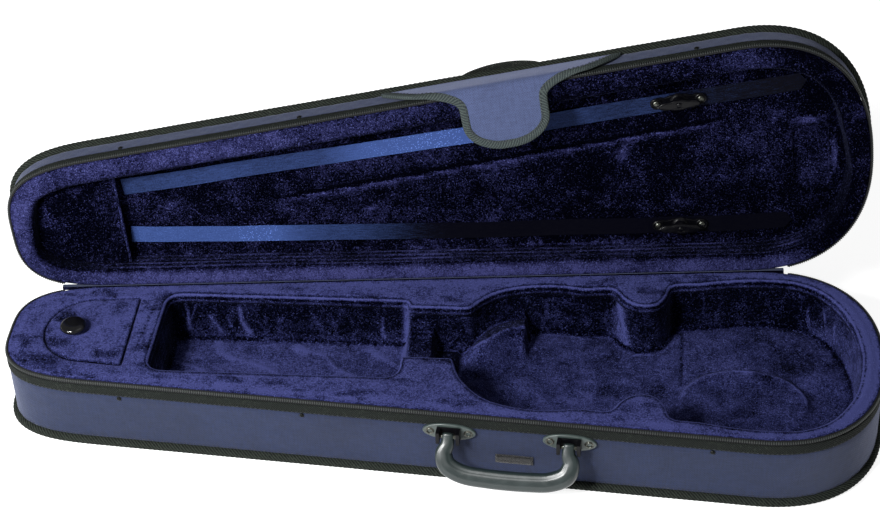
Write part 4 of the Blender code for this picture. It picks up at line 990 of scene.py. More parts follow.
# folds of the lining cloth: x, y at the top, shift towards the foot, width, height, first and last depth
WRINKLES = [(-251, 58, 7, 0, 3.0, 1.0, 0.05, 0.9), (-240, 58, -5, 0, 2.2, 0.7, 0.0, 0.45), (-229, 58, 12, 0, 3.2, 0.7, 0.35, 0.95),
            (-212, 58, 10, 0, 2.8, 0.5, 0.4, 0.8), (-199, 58, 11, 0, 4.2, 1.1, 0.05, 0.95), (-176, 58, 6, 0, 3.6, 0.4, 0.25, 0.6),
            (-152, 58, -9, 0, 4.2, 0.45, 0.3, 0.85), (-128, 58, 10, 0, 3.4, 0.35, 0.1, 0.7), (-110, 58, 7, 0, 5.0, 0.35, 0.2, 0.8),
            (-62, 58, 4, 0, 2.4, 0.8, 0.25, 0.92), (-57, 58, -3, 0, 2.0, 0.5, 0.55, 0.95),
            (333, 100, 4, -2, 2.6, 1.0, 0.0, 0.55), (341, 96, 5, -3, 2.2, 0.7, 0.2, 0.8), (356, 84, 5, -5, 2.8, 1.0, 0.1, 0.85),
            (366, 72, 3, -6, 2.4, 0.6, 0.3, 0.9), (372, 58, 1, -8, 2.2, 0.5, 0.4, 0.95), (240, 96, 8, 0, 3.0, 0.5, 0.1, 0.7),
            (262, 100, -6, 0, 3.4, 0.35, 0.3, 0.9), (300, 104, 9, 0, 4.0, 0.35, 0.2, 0.8), (22, 45, 5, 2, 2.4, 0.6, 0.1, 0.8),
            (96, 86, -6, 0, 3.4, 0.4, 0.2, 0.9), (128, 84, 7, 0, 3.0, 0.45, 0.2, 0.9), (163, 78, 3, -4, 2.6, 0.7, 0.05, 0.8),
            (206, 76, -2, 4, 2.6, 0.6, 0.1, 0.9)]

CAVITY = cavity_loop()
WELL = well_outline(5.0)


def inward_loop(loop, d, relax=0.0):
    """Loop moved into the space it encloses by d, kept free of kinks."""
    out = loop - normals(loop) * d
    if relax:
        out = soften(out, relax, 1.5)
    return out


def cavity_floor(p, wall):
    """Height of the moulded floor at points p, with wall the distance to the cavity's edge."""
    x, y = p[:, 0], p[:, 1]
    # scroll box, sagging cloth with long diagonal wrinkles
    wr = bump_fn(np.sin((x * 0.55 + y * 0.84 + 9 * vnoise(x / 30, y / 30, 3)) / 13.0), 0.35)
    h = FLOOR_SCROLL + 0.9 * wr * smooth01(3, 16, wall) + 0.8 * fbm(x / 26, y / 22, 8)
    # saddle that carries the neck: rises in a round bevel, dips in the middle
    dish = 47.2 + 6.8 * np.clip(np.abs(y - 15.0) / 34.0, 0, 1) ** 1.5
    up = smooth01(-41.5, -31.5, x)
    h = h + (dish - h) * up
    down = smooth01(-11.0, -7.5, x)
    h = h + (FLOOR_NECK - h) * down
    # body floor
    body = FLOOR_BODY + 0.7 * fbm(x / 38, y / 34, 21) + 0.35 * fbm(x / 12, y / 12, 22)
    # pads under the shoulders, with a firm inner edge and a square end
    span = np.clip((x - 17.0) / 57.0, 0, 1)
    reach = 3.0 + 17.0 * np.sin(0.5 * math.pi * np.clip(span * 1.9, 0, 1)) + 2.0 * span
    pad = smooth01(reach + 26.0, reach - 1.5, wall) ** 1.3 * smooth01(78.0, 75.0, x) * smooth01(10.0, 40.0, x)
    body = body + (46.5 - 3.0 * smooth01(reach - 2.0, 0.0, wall) + 1.2 * bump_fn(wall - reach + 1.0, 3.5) - body) * pad
    # low oval pad under the lower bout, with a raised welt round it
    e = np.hypot((x - 280.0) / 61.0, (y + 14.0) / 45.0)
    r = (e - 1.0) * 50.0
    body = body + 3.4 * smooth01(2.5, -3.5, r) * smooth01(1.5, 8.0, wall) + 1.2 * bump_fn(r + 3.5, 2.6)
    # seam across the floor where the lining is joined
    seam = bump_fn(x - 224.0 - 0.03 * (y - 40), 2.0) * smooth01(12, 18, y) * smooth01(72, 66, y)
    body = body - 1.6 * seam + 1.6 * smooth01(221.5, 224.5, x) * smooth01(8, 20, y) * smooth01(3, 8, wall)
    h = h + (body - h) * smooth01(11.0, 16.0, x)
    return h


def deck_height(p, edge, outer, gap):
    """Padded top of the insert: crowned foam, quilted down along the cavity edges."""
    x, y = p[:, 0], p[:, 1]
    h = RIM_TOP - 0.55 + 0.45 * fbm(x / 34, y / 26, 51) * smooth01(0, 10, edge) * smooth01(0, 10, outer)
    h = h + 0.45 * smooth01(2.0, 9.0, edge) * smooth01(3.0, 9.0, outer)
    h = h - 0.5 * bump_fn(gap - 5.0, 1.6) + 0.2 * bump_fn(gap - 8.0, 2.4)
    wide = bump_fn(outer - 17.0 - 3.0 * smooth01(60, -60, y), 1.7) * smooth01(352.0, 366.0, x) * smooth01(-75, -60, y) * smooth01(62, 45, y)
    h = h - 0.9 * wide
    left = bump_fn((x + 341.0) - 0.25 * (y - 40.0), 1.8) * smooth01(36, 48, y)
    right = bump_fn((x + 278.0) - 0.10 * y, 1.5) + 0.7 * bump_fn((x + 273.0) - 0.06 * y, 1.3)
    h = h - 0.8 * left - 0.9 * right * smooth01(-58, -50, y) * smooth01(60, 52, y)
    return np.minimum(h, RIM_TOP + 0.15)


def insert():
    loop, well = CAVITY, WELL
    n, m = len(loop), len(well)
    arc = np.arange(n) * 1.5
    xs, ys = loop[:, 0], loop[:, 1]
    nor = normals(loop)
    # --- wall rings from the lip down to the floor
    slope = 2.4
    depth_d = [(-3.2, 0.0), (-2.2, -0.22), (-1.1, -0.75), (-0.35, -1.6), (0.0, -2.7), (0.1, -4.2), (0.75, -5.6), (1.0, -6.6),
               (0.45, -7.7), (0.15, -9.4)]
    foot = inward_loop(loop, slope + 4.2, 2.2)
    zf = cavity_floor(foot, np.full(n, slope + 4.2))
    # wrinkles: upright or slanting folds in the back and end walls of each space

    def wrinkle(q):
        """Slanting folds of the cloth on the walls at depth q: x, y at the top, shift at the foot, width, height, span."""
        out = np.zeros(n)
        for x0, y0, dx, dy, w, amp, q0, q1 in WRINKLES:
            bend = 1.8 * math.sin(5.0 * q + x0)
            d = np.hypot(xs - (x0 + dx * q + bend * np.sign(dx + 0.01)), ys - (y0 + dy * q))
            out = out + amp * bump_fn(d, w * (0.6 + 0.9 * q)) * smooth01(q0 - 0.08, q0 + 0.12, q) * smooth01(q1 + 0.1, q1 - 0.12, q)
        left = (xs < -261.0) * smooth01(38.0, 0.0, ys)
        for k in range(4):
            mid = 0.16 + 0.2 * k + 0.16 * smooth01(-38.0, 30.0, ys) * (1 - 0.4 * k)
            out = out + 0.55 * left * bump_fn(q - mid, 0.055)
        return out
    top = deck_height(loop + nor * 3.2, np.full(n, 3.2), np.full(n, 20.0), np.full(n, 3.2))
    rings = []
    for d, dz in depth_d:
        rings.append(np.column_stack([loop - nor * d, top + dz]))
    steps = 16
    z1 = top - 9.4
    wall_fold = []
    for k in range(1, steps + 1):
        q = k / steps
        z = z1 + (zf + 3.6 - z1) * q
        fold = wrinkle(q)
        lean = arc + 9.0 * q * vnoise(arc / 30.0, 5.0, 64)
        soft = 0.45 * fbm(lean / 12.0, q * 1.6, 61) + 0.25 * fbm(lean / 5.0, q * 2.2, 62)
        d = 0.15 + slope * q + (soft + 1.1 * fold) * math.sin(math.pi * min(1.0, q * 0.96 + 0.04))
        wall_fold.append(fold + 0.5 * soft)
        rings.append(np.column_stack([loop - nor * d[:, None], z]))
    for k, (fd, fz) in enumerate(((0.9, 1.7), (2.2, 0.55))):
        w = (k + 1) / 3.0
        p = (loop - nor * (slope + fd)) * (1 - w) + foot * w
        rings.append(np.column_stack([p, zf + fz]))
    rings.append(np.column_stack([foot, zf]))
    rings = np.array(rings)
    # --- the accessory well: lip, ledge, wall and floor
    wn = normals(well)
    well0 = well_outline(0.0)
    wd = [(-2.6, -0.05), (-1.6, -0.35), (-0.6, -1.0), (0.0, -2.0)]
    wrings = [np.column_stack([well - wn * d, np.full(m, RIM_TOP - 0.45 + dz)]) for d, dz in wd]
    wrings.append(np.column_stack([well - wn * 0.1, np.full(m, LEDGE)]))
    for d, z in ((4.3, LEDGE), (5.0, LEDGE - 0.8), (5.3, LEDGE - 3.0), (5.8, 60.0), (6.2, 45.0), (6.8, FLOOR_WELL + 4.0),
                 (8.0, FLOOR_WELL + 1.2), (10.5, FLOOR_WELL + 0.2)):
        ripple = 0.5 * fbm(np.arange(m) / 6.0, z / 30.0, 71) if z < 70 else 0.0
        wrings.append(np.column_stack([well - wn * np.reshape(d + ripple, (-1, 1) if np.ndim(ripple) else (1, 1)), np.full(m, z)]))
    wrings = np.array(wrings)
    # --- outer edge of the padded top
    s = LOOP_S[::2]
    c = len(s)
    out_prof = [(1.6, 76.3), (1.62, 76.9), (2.1, 77.25), (3.2, 77.4), (4.8, 77.45)]
    orings = np.array([ring(o, z, s) for o, z in out_prof])
    # --- deck
    deck2, tri = fill([orings[-1][:, :2], rings[0][:, :2], wrings[0][:, :2]], 2.3, 0.55)
    gap = near(loop, deck2)
    edge = np.minimum(gap, near(well, deck2))
    outer = near(ring(0.0, 0.0, LOOP_S)[:, :2], deck2) - 1.6
    hz = deck_height(deck2, edge, outer, gap)
    fixed = c + n + m
    hz[:c] = 77.45
    hz[c:c + n] = rings[0][:, 2]
    hz[c + n:fixed] = wrings[0][:, 2]
    # --- floor
    floor2, ftri = fill([rings[-1][:, :2]], 2.3, 0.5)
    fz = cavity_floor(floor2, near(loop, floor2))
    fz[:n] = zf
    wfloor2, wtri = fill([wrings[-1][:, :2]], 7.0, 0.5)
    wfz = FLOOR_WELL + 0.2 + 0.5 * fbm(wfloor2[:, 0] / 20, wfloor2[:, 1] / 20, 73)
    wfz[:m] = wrings[-1][:, 2]
    # --- painted light and shade for the tone attribute, point by point
    def painted_side_light(p, q):
        """Painted light on a wall turned towards direction q: walls turned to the left, towards the key light, are
        painted brighter.
        """
        return np.clip(-q[:, 0] * 0.9 + q[:, 1] * 0.25, 0.0, 1.0)
    facing = painted_side_light(loop, -nor)
    # painted light and shade down the lip: bright on its round top, a painted dark line, a thin painted highlight on
    # the bulge below, then shade
    lip_painted_light = [0.22, 0.84, 0.96, 0.42, 0.02, 0.10, 0.42, 0.30, 0.02, 0.05]
    # painted highlight on the narrow bar between scroll box and saddle, where it catches the key light
    stub_painted_highlight = bump_fn(xs + 37.0, 7.5) * (ys > 44.0)
    ring_painted_light = []
    for k in range(len(rings)):
        if k < 10:
            base = np.full(n, lip_painted_light[k]) + 0.25 * facing * (k > 3) + 0.6 * stub_painted_highlight * (k > 3)
        elif k < 10 + steps:
            q = (k - 9) / steps
            wf = wall_fold[k - 10]
            # painted light on the walls: brighter where they turn to the key light and on fold crests, painted shade in
            # the hollows; bright painted bands on the scroll box's end wall and the waist's back wall
            base = 0.02 + 0.10 * q + 0.55 * facing ** 1.5 + 0.70 * np.clip(wf, 0, 1) - 0.2 * np.clip(-wf, 0, 1)
            base = base + 0.16 * smooth01(0.1, 0.6, fbm(arc / 18.0, q * 2.0, 66)) * (ys > 0) + 0.75 * stub_painted_highlight
            base = base + 0.50 * (xs < -261.0) * smooth01(12.0, -16.0, ys) * bump_fn((ys / 7.0 + 0.6 * q) % 1.0 - 0.5, 0.20) * smooth01(0.05, 0.4, q)
            base = base + 0.66 * bump_fn(xs - 164.0 - 8.0 * q, 6.0 + 3.0 * q) * (ys > 0)
        else:
            # painted shade in the crease at the foot of the wall
            base = np.full(n, 0.05 if k == 10 + steps else 0.16)
        ring_painted_light.append(base)
    ring_painted_light[-1] = np.full(n, 0.42)
    # painted light and shade on the deck: darker where it rolls down at the outer edge, a painted dark line along the
    # groove by the cavity, brighter towards the wide end, a light line by the accessory lid, darker patches at the
    # narrow end, painted shade in the quilted dips
    deck_painted_light = 0.74 + 0.14 * smooth01(14.0, 6.0, outer) - 0.30 * smooth01(5.0, 0.0, outer)
    dx, dy = deck2[:, 0], deck2[:, 1]
    deck_painted_light = deck_painted_light - 0.52 * bump_fn(gap - 3.3, 1.5) + 0.08 * bump_fn(gap - 7.0, 1.6) + 0.45 * smooth01(340, 378, dx)
    deck_painted_light = deck_painted_light + 0.30 * bump_fn((dx + 345.0) - 0.25 * (dy - 40.0), 2.0) * smooth01(34, 44, dy)
    dark_zone = smooth01(-240, -262, dx) * smooth01(0.05, 0.55, fbm(dx / 30, dy / 22, 151) + 0.30 * (dx < -350) + 0.2 * (dy < -36))
    deck_painted_light = deck_painted_light - 0.42 * dark_zone
    deck_painted_light = deck_painted_light - 0.35 * smooth01(0.1, 0.6, fbm(dx / 24, dy / 9, 152)) * smooth01(350, 320, dx)
    deck_painted_light = deck_painted_light - 0.9 * (RIM_TOP - 0.1 - hz > 0.75) * smooth01(8.0, 9.0, edge) * 0.6
    fx, fy = floor2[:, 0], floor2[:, 1]
    wallf = near(loop, floor2)
    # painted light and shade on the floor: scroll box and body painted brighter than the saddle, the neck slot painted
    # black, painted highlights on the saddle's bevel, the welt, the pad ridges and fold crests, painted shade in the
    # seam, at the pads' steps and at the foot of the walls
    floor_painted_light = np.where(fx < -36, 0.62, np.where(fx < -8, 0.16, np.where(fx < 14, 0.0, 0.52)))
    bevel = bump_fn(fx + 36.5, 7.5)
    floor_painted_light = floor_painted_light + 0.62 * bevel * (fx > -46)
    floor_painted_light = floor_painted_light + 0.10 * fbm(fx / 30, fy / 24, 153) - 0.25 * smooth01(0.2, 0.7, fbm(fx / 40, fy / 40, 154)) * (fx > 14)
    e = np.hypot((fx - 280.0) / 61.0, (fy + 14.0) / 45.0)
    r = (e - 1.0) * 50.0
    floor_painted_light = floor_painted_light + np.where(fx > 14, 0.46 * bump_fn(r + 3.2, 2.1) * smooth01(-24.0, -6.0, fy) - 0.10 * bump_fn(r - 2.4, 3.0) - 0.03 * (r < -6), 0.0)
    floor_painted_light = floor_painted_light - np.where(fx > 14, 0.40 * bump_fn(fx - 223.0, 2.2) * (fy > 10), 0.0)
    lift = smooth01(40.0, 46.0, fz) * (fx > 14)
    span = np.clip((fx - 17.0) / 57.0, 0, 1)
    reach = 3.0 + 17.0 * np.sin(0.5 * math.pi * np.clip(span * 1.9, 0, 1)) + 2.0 * span
    on_pad = (fx > 14) * (fx < 79)
    floor_painted_light = floor_painted_light + 0.55 * bump_fn(wallf - reach + 1.0, 1.8) * on_pad * smooth01(14, 34, fx) - 0.22 * smooth01(reach - 1.0, reach - 5.0, wallf) * on_pad
    floor_painted_light = floor_painted_light - 0.55 * bump_fn(fx - 77.0, 3.2) * smooth01(34.0, 12.0, wallf)
    floor_painted_light = floor_painted_light - 0.12 * lift
    floor_painted_light = floor_painted_light + 0.50 * bump_fn(wallf - 8.6, 1.7) * (fy > 20) * smooth01(84, 96, fx) * smooth01(222, 210, fx)
    wr2 = bump_fn(np.sin((fx * 0.55 + fy * 0.84 + 9 * vnoise(fx / 30, fy / 30, 3)) / 13.0), 0.35)
    floor_painted_light = floor_painted_light + 0.30 * wr2 * (fx < -45) - 0.25 * smooth01(5.0, 0.0, wallf - 6.5) * (fx > -300)
    floor_painted_light[:n] = 0.30
    # painted light in the well: bright on its lip, painted shade down its wall
    well_painted_light = [0.8, 0.7, 0.4, 0.15, 0.1] + [0.3] * (len(wrings) - 5)
    # --- skirt inside the shell, closed at the bottom
    skirt = np.array([ring(o, z, s) for o, z in ((1.6, 76.3), (INSERT_OUT, 76.3), (INSERT_OUT, 1.5 + WALL + GAP))])
    bottom2, btri = fill([skirt[-1][:, :2]], 40.0, 0.4)
    pts, faces, tones = [], [], []

    def add(p, f, tone):
        p = np.asarray(p, float).reshape(-1, 3)
        base = sum(len(q) for q in pts)
        pts.append(p)
        tones.append(np.broadcast_to(np.asarray(tone, float).ravel() if np.ndim(tone) else tone, (len(p),)))
        faces.extend(tuple(base + i for i in t) for t in f)
    add(np.column_stack([deck2, hz]), tri, deck_painted_light)
    add(*loft(rings, caps=False), np.array(ring_painted_light))
    add(*loft(wrings, caps=False), np.repeat(well_painted_light, m))
    # painted shade where the outer edge of the top rolls down
    add(*loft(orings, caps=False), np.repeat([0.2, 0.3, 0.5, 0.7, 0.8], c))
    add(np.column_stack([floor2, fz]), ftri, floor_painted_light)
    add(np.column_stack([wfloor2, wfz]), wtri, 0.35)
    add(*loft(skirt, caps=False), 0.3)
    add(np.column_stack([bottom2, np.full(len(bottom2), 1.5 + WALL + GAP)]), btri, 0.3)
    o = make('insert_velvet', np.vstack(pts), faces, M_VELVET, None, slot='blue_velvet', fix=False, smooth=None,
             tone=np.concatenate(tones))
    bm = bmesh.new()
    bm.from_mesh(o.data)
    bmesh.ops.remove_doubles(bm, verts=bm.verts, dist=2e-6)
    bmesh.ops.recalc_face_normals(bm, faces=bm.faces)
    bm.to_mesh(o.data)
    bm.free()
    o.data.shade_smooth()
    o.data.set_sharp_from_angle(angle=math.radians(70))
    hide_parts('base_insert', 'neck_rest', 'upper_bout_pad_back', 'upper_bout_pad_front', 'lower_bout_pad')
    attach(o, 'base')
    return o


insert_obj = insert()

# ================================================================ lid lining
def rect_loop(x0, x1, y0, y1, r, step=2.0):
    pts = []
    for cx, cy, a0 in ((x1 - r, y1 - r, 0), (x0 + r, y1 - r, 90), (x0 + r, y0 + r, 180), (x1 - r, y0 + r, 270)):
        for i in range(7):
            a = math.radians(a0 + 15.0 * i)
            pts.append((cx + r * math.cos(a), cy + r * math.sin(a)))
    return resample(np.array(pts), step)


def line_distance(p, a, b):
    a, b = np.array(a, float), np.array(b, float)
    d = b - a
    L = np.linalg.norm(d)
    d /= L
    rel = p - a
    along = rel @ d
    return rel @ np.array([-d[1], d[0]]), along / L


def ceiling_height(p, wall):
    """Height of the lining above the rim plane, less where it stands out of the lid."""
    x, y = p[:, 0], p[:, 1]
    stand = 0.5 * fbm(x / 55, y / 40, 81) + 0.25 * fbm(x / 16, y / 13, 82)
    d, t = line_distance(p, (-147, 3), (271, -35))
    ease = smooth01(-0.02, 0.06, t) * smooth01(1.02, 0.94, t)
    stand = stand - 1.5 * bump_fn(d, 2.6) * ease + 0.9 * bump_fn(d - 5.5, 5.0) * ease
    for k, (off, x0, x1, a) in enumerate(((26.5, -150, 250, 0.5), (34.0, -240, 60, 0.35))):
        wob = 1.6 * vnoise(x / 60, k * 3.0, 83)
        stand = stand + a * (bump_fn(wall - off - wob, 3.0) - 0.7 * bump_fn(wall - off - wob - 2.8, 2.2)) \
            * smooth01(x0, x0 + 30, x) * smooth01(x1, x1 - 30, x) * (y > 0)
    for (ax, ay), (bx, by), a in (((40, -30), (150, 20), 0.2), ((-220, -8), (-120, 24), 0.3),
                                  ((285, -20), (322, 50), 0.15), ((-60, 24), (60, 44), 0.25)):
        d, t = line_distance(p, (ax, ay), (bx, by))
        stand = stand + a * bump_fn(d + 2.0 * vnoise(t * 3, 0 * t, 84), 4.5) * smooth01(0, 0.2, t) * smooth01(1, 0.8, t)
    stand = np.clip(stand * smooth01(1.0, 8.0, wall - 22.5), -1.2, 1.3)
    for cx, cy in ((230, -60), (224, 72)):
        stand = stand * smooth01(10, 26, np.hypot((x - cx) / 1.6, y - cy))
    return CEILING - 0.15 - stand


def lining():
    s = LOOP_S[::2]
    px, py = points_at(s).T
    extra = 6.5 * np.clip((25.0 - py) / 50.0, 0.0, 1.0)
    hinge_side = smooth01(0.0, 30.0, py) * smooth01(-345.0, -310.0, px) * smooth01(372.0, 320.0, px)
    prof = [(1.6, 1.7), (1.6, 0.95), (1.8, 0.62), (2.4, 0.42), (4.0, 0.32), (7.0, 0.3), (10.0, 0.32), (12.6, 0.4), (14.6, 0.75),
            (16.0, 1.5), (16.9, 2.7), (17.4, 4.2)]
    rim_rings = len(prof)
    prof += [(17.5 + 2.0 * k / 15.0, 5.4 + 18.4 * k / 15.0) for k in range(16)]
    prof += [(19.8, 24.8), (20.8, 25.5), (22.5, 25.85)]
    rings, ring_painted_light = [], []
    for k, (o, h) in enumerate(prof):
        wav, tone = 0.0, 0.0
        if 4 <= k < rim_rings:
            wav = 0.28 * fbm(s / 22.0, h / 14.0, 91)
        if k >= rim_rings:
            ph = (h - 2.2 + 1.7 * vnoise(s / 90.0, h / 30.0, 92)) / 5.6
            line = bump_fn((ph % 1.0) - 0.5, 0.26) * (0.45 + 0.55 * smooth01(-0.2, 0.5, vnoise(s / 46.0, np.floor(ph) * 5.0, 93)))
            mid = bump_fn(h - 14.0, 13.0)
            wav = (0.9 * line * hinge_side + 0.5 * fbm(s / 30.0, h / 9.0, 94)) * np.minimum(1.0, mid * 2.0)
            # painted highlights on the fold lines of the wall on the hinge side, painted shade elsewhere on the wall
            tone = 0.04 + 0.62 * line * hinge_side + 0.06 * hinge_side - 0.06 * (1 - hinge_side)
        up = 0.12 * fbm(s / 30.0, o / 8.0, 95) if 4 <= k <= 8 else 0.0
        rings.append(ring(o + wav + extra * smooth01(3.0, 13.0, o), R + h + np.maximum(up, -0.05), s))
        ring_painted_light.append(np.broadcast_to(tone, s.shape))
    rings, ring_painted_light = np.array(rings), np.array(ring_painted_light)
    hole = rect_loop(332.5, 367.5, -20.5, 44.0, 4.0)
    ceil2, tri = fill([rings[-1][:, :2], hole], 2.7, 0.55)
    wall = near(ring(0.0, 0.0, LOOP_S)[:, :2], ceil2) - 6.5 * np.clip((25.0 - ceil2[:, 1]) / 50.0, 0.0, 1.0)
    z = ceiling_height(ceil2, wall)
    c, n = len(s), len(hole)
    z[:c] = rings[-1][:, 2]
    z[c:c + n] = CEILING - 0.1
    hn = normals(hole)
    hrings = np.array([np.column_stack([hole - hn * d, np.full(n, CEILING + dz)]) for d, dz in
                       ((0.0, -0.1), (0.5, 0.25), (0.8, 1.2), (1.0, 2.2), (1.8, 2.8))])
    rec2, rtri = fill([hrings[-1][:, :2]], 4.0, 0.5)
    rz = CEILING + 2.85 - 0.35 * fbm(rec2[:, 0] / 14, rec2[:, 1] / 14, 96) * smooth01(0, 6, near(hrings[-1][:, :2], rec2))
    rz[:n] = hrings[-1][:, 2]
    back = LINING_BACK
    skirt = np.array([ring(o, zz, s) for o, zz in ((1.6, R + 1.7), (INSERT_OUT, R + 1.7), (INSERT_OUT, back))])
    top2, ttri = fill([skirt[-1][:, :2]], 40.0, 0.4)
    # painted light and shade on the rim: painted bright at the narrow end and along the hinge, darker along the front,
    # and painted in shade towards the wide end
    rim_painted_light = [0.2, 0.3, 0.45, 0.66, 0.80, 0.84, 0.82, 0.74, 0.55, 0.34, 0.16, 0.06]
    front = smooth01(12.0, -28.0, py)
    lit = (0.86 - 0.10 * smooth01(0.0, 300.0, px)) * (1 - front) + (0.52 - 0.26 * smooth01(-150.0, 150.0, px)) * front
    lit = lit + (0.62 - lit) * smooth01(-318.0, -352.0, px)
    lit = lit + (0.08 - lit) * smooth01(318.0, 362.0, px)
    lit = lit + 0.20 * front * bump_fn(px + 190.0, 120.0) + 0.10 * fbm(s / 34.0, 0 * s, 155)
    ring_painted_light[:rim_rings] = np.array(rim_painted_light)[:, None] * lit[None, :] - 0.10 * (1 - lit)[None, :]
    cx2, cy2 = ceil2[:, 0], ceil2[:, 1]
    # painted light and shade on the ceiling: standing folds and the crease's upper edge painted lighter, sunken places
    # and the crease painted darker, darker towards the wide end, painted highlights on single folds and on the recess
    # faces at the wide end
    ceiling_painted_light = 0.06 + 0.12 * fbm(cx2 / 45, cy2 / 30, 156) - 0.05 * smooth01(80, 240, cx2) + 0.07 * bump_fn(cy2 - 30, 40) * smooth01(-260, -200, cx2) * smooth01(120, 20, cx2)
    stand = CEILING - 0.15 - z
    ceiling_painted_light = ceiling_painted_light + 0.24 * np.clip(stand, 0, 1.2) - 0.15 * np.clip(-stand, 0, 1.0)
    crease, along = line_distance(np.column_stack([cx2, cy2]), (-147, 3), (271, -35))
    ends = smooth01(-0.02, 0.06, along) * smooth01(1.02, 0.94, along)
    ceiling_painted_light = ceiling_painted_light + (0.42 * bump_fn(crease - 2.6, 2.4) - 0.5 * bump_fn(crease + 0.4, 2.4)) * ends
    ceiling_painted_light = ceiling_painted_light + 0.55 * bump_fn(cx2 + 67, 11) * bump_fn(cy2 - 24, 3.0) + 0.6 * bump_fn(cx2 - 172 + 0.4 * cy2, 7) * bump_fn(cy2 + 8, 14)
    ceiling_painted_light = ceiling_painted_light + 0.75 * bump_fn(cx2 - 350, 24) * bump_fn(cy2 + 26, 6.4) + 0.7 * bump_fn(cx2 - 372, 4.5) * bump_fn(cy2 - 14, 34)
    ceiling_painted_light = ceiling_painted_light + 0.25 * bump_fn(cx2 - 286, 12) * bump_fn(cy2 + 8, 20) * 0.3
    pts, faces, tones = [], [], []

    def add(p, f, tone):
        p = np.asarray(p, float).reshape(-1, 3)
        base = sum(len(q) for q in pts)
        pts.append(p)
        tones.append(np.broadcast_to(np.asarray(tone, float).ravel() if np.ndim(tone) else tone, (len(p),)))
        faces.extend(tuple(base + i for i in t) for t in f)
    add(*loft(rings, caps=False), ring_painted_light)
    add(np.column_stack([ceil2, z]), tri, ceiling_painted_light)
    # the recess painted darker
    add(*loft(hrings, caps=False), 0.15)
    add(np.column_stack([rec2, rz]), rtri, 0.12)
    add(*loft(skirt, caps=False), 0.3)
    add(np.column_stack([top2, np.full(len(top2), back)]), ttri, 0.3)
    o = make('lid_velvet', np.vstack(pts), faces, M_VELVET_LID, None, slot='blue_velvet', lid=True, fix=False, smooth=None,
             tone=np.concatenate(tones))
    weld(o, 70)
    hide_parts('lid_lining')
    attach(o, 'lid')
    return o


def weld(o, angle):
    bm = bmesh.new()
    bm.from_mesh(o.data)
    bmesh.ops.remove_doubles(bm, verts=bm.verts, dist=2e-6)
    bmesh.ops.recalc_face_normals(bm, faces=bm.faces)
    bm.to_mesh(o.data)
    bm.free()
    o.data.shade_smooth()
    if angle:
        o.data.set_sharp_from_angle(angle=math.radians(angle))


LINING_BACK = TOP - 1.5 - WALL - GAP
lid_velvet = lining()


def pocket():
    """Stretched velvet panel across the narrow end, with a corded hem along its open edge."""
    edge = -301.0
    s0, s1 = arc_of(edge, True), arc_of(edge, False)
    s = np.linspace(s0, s1, 130)
    loop = ring(19.6 + 6.5 * np.clip((25.0 - points_at(s)[:, 1]) / 50.0, 0.0, 1.0), 0.0, s)[:, :2]
    loop[0, 0] = loop[-1, 0] = edge
    lp = resample(loop, 2.4)
    m = len(lp)
    p2, tri = fill([lp], 3.2)
    d = near(lp, p2)
    hem = bump_fn(p2[:, 0] - edge + 1.6, 2.6) * 1.1 - 0.7 * bump_fn(p2[:, 0] - edge + 5.2, 2.0)
    front = R + 14.2 - hem - 0.9 * smooth01(0, 14, d) - 0.5 * fbm(p2[:, 0] / 22, p2[:, 1] / 18, 97) * smooth01(0, 8, d)
    rear = R + 15.4 - 0.9 * smooth01(0, 14, d) - 0.5 * fbm(p2[:, 0] / 22, p2[:, 1] / 18, 97) * smooth01(0, 8, d)
    n = len(p2)
    pts = np.vstack([np.column_stack([p2, front]), np.column_stack([p2, rear])])
    faces = list(tri) + [tuple(n + i for i in t[::-1]) for t in tri]
    faces += [(i, (i + 1) % m, n + (i + 1) % m, n + i) for i in range(m)]
    # painted highlight on the hem, painted shade on the rest of the panel
    o = make('pocket_velvet', pts, faces, M_VELVET_LID, 'lid', node='bow_tip_pocket', slot='blue_velvet', lid=True,
             tone=np.concatenate([0.0 + 0.25 * np.clip(hem, 0, 1) + 0.16 * fbm(p2[:, 0] / 20, p2[:, 1] / 16, 157), np.full(n, 0.2)]))
    # the hem's cord
    y0, y1 = loop[-1, 1] + 0.5, loop[0, 1] - 0.5
    ys = np.linspace(y0, y1, 70)
    rings = []
    for y in ys:
        a = 2 * math.pi * np.arange(12) / 12
        r = 1.35 + 0.06 * math.sin(y * 2.2)
        rings.append(np.stack([edge + 0.6 + r * np.cos(a), np.full(12, y), R + 13.3 + 0.3 * vnoise(y / 20, 0.0, 98) + r * np.sin(a)], -1))
    p, f = loft(rings)
    make('pocket_hem', p, f, M_VELVET, 'lid', slot='blue_velvet', lid=True, tone=0.30)
    return o


pocket_obj = pocket()

UPPER_BAND = [(-296, -25), (-144, -35), (-30, -42), (70, -48), (170, -55.5), (268, -62), (348, -68)]
LOWER_BAND = [(-297, 27), (-150, 41), (0, 55), (130, 65), (250, 74), (330, 79)]


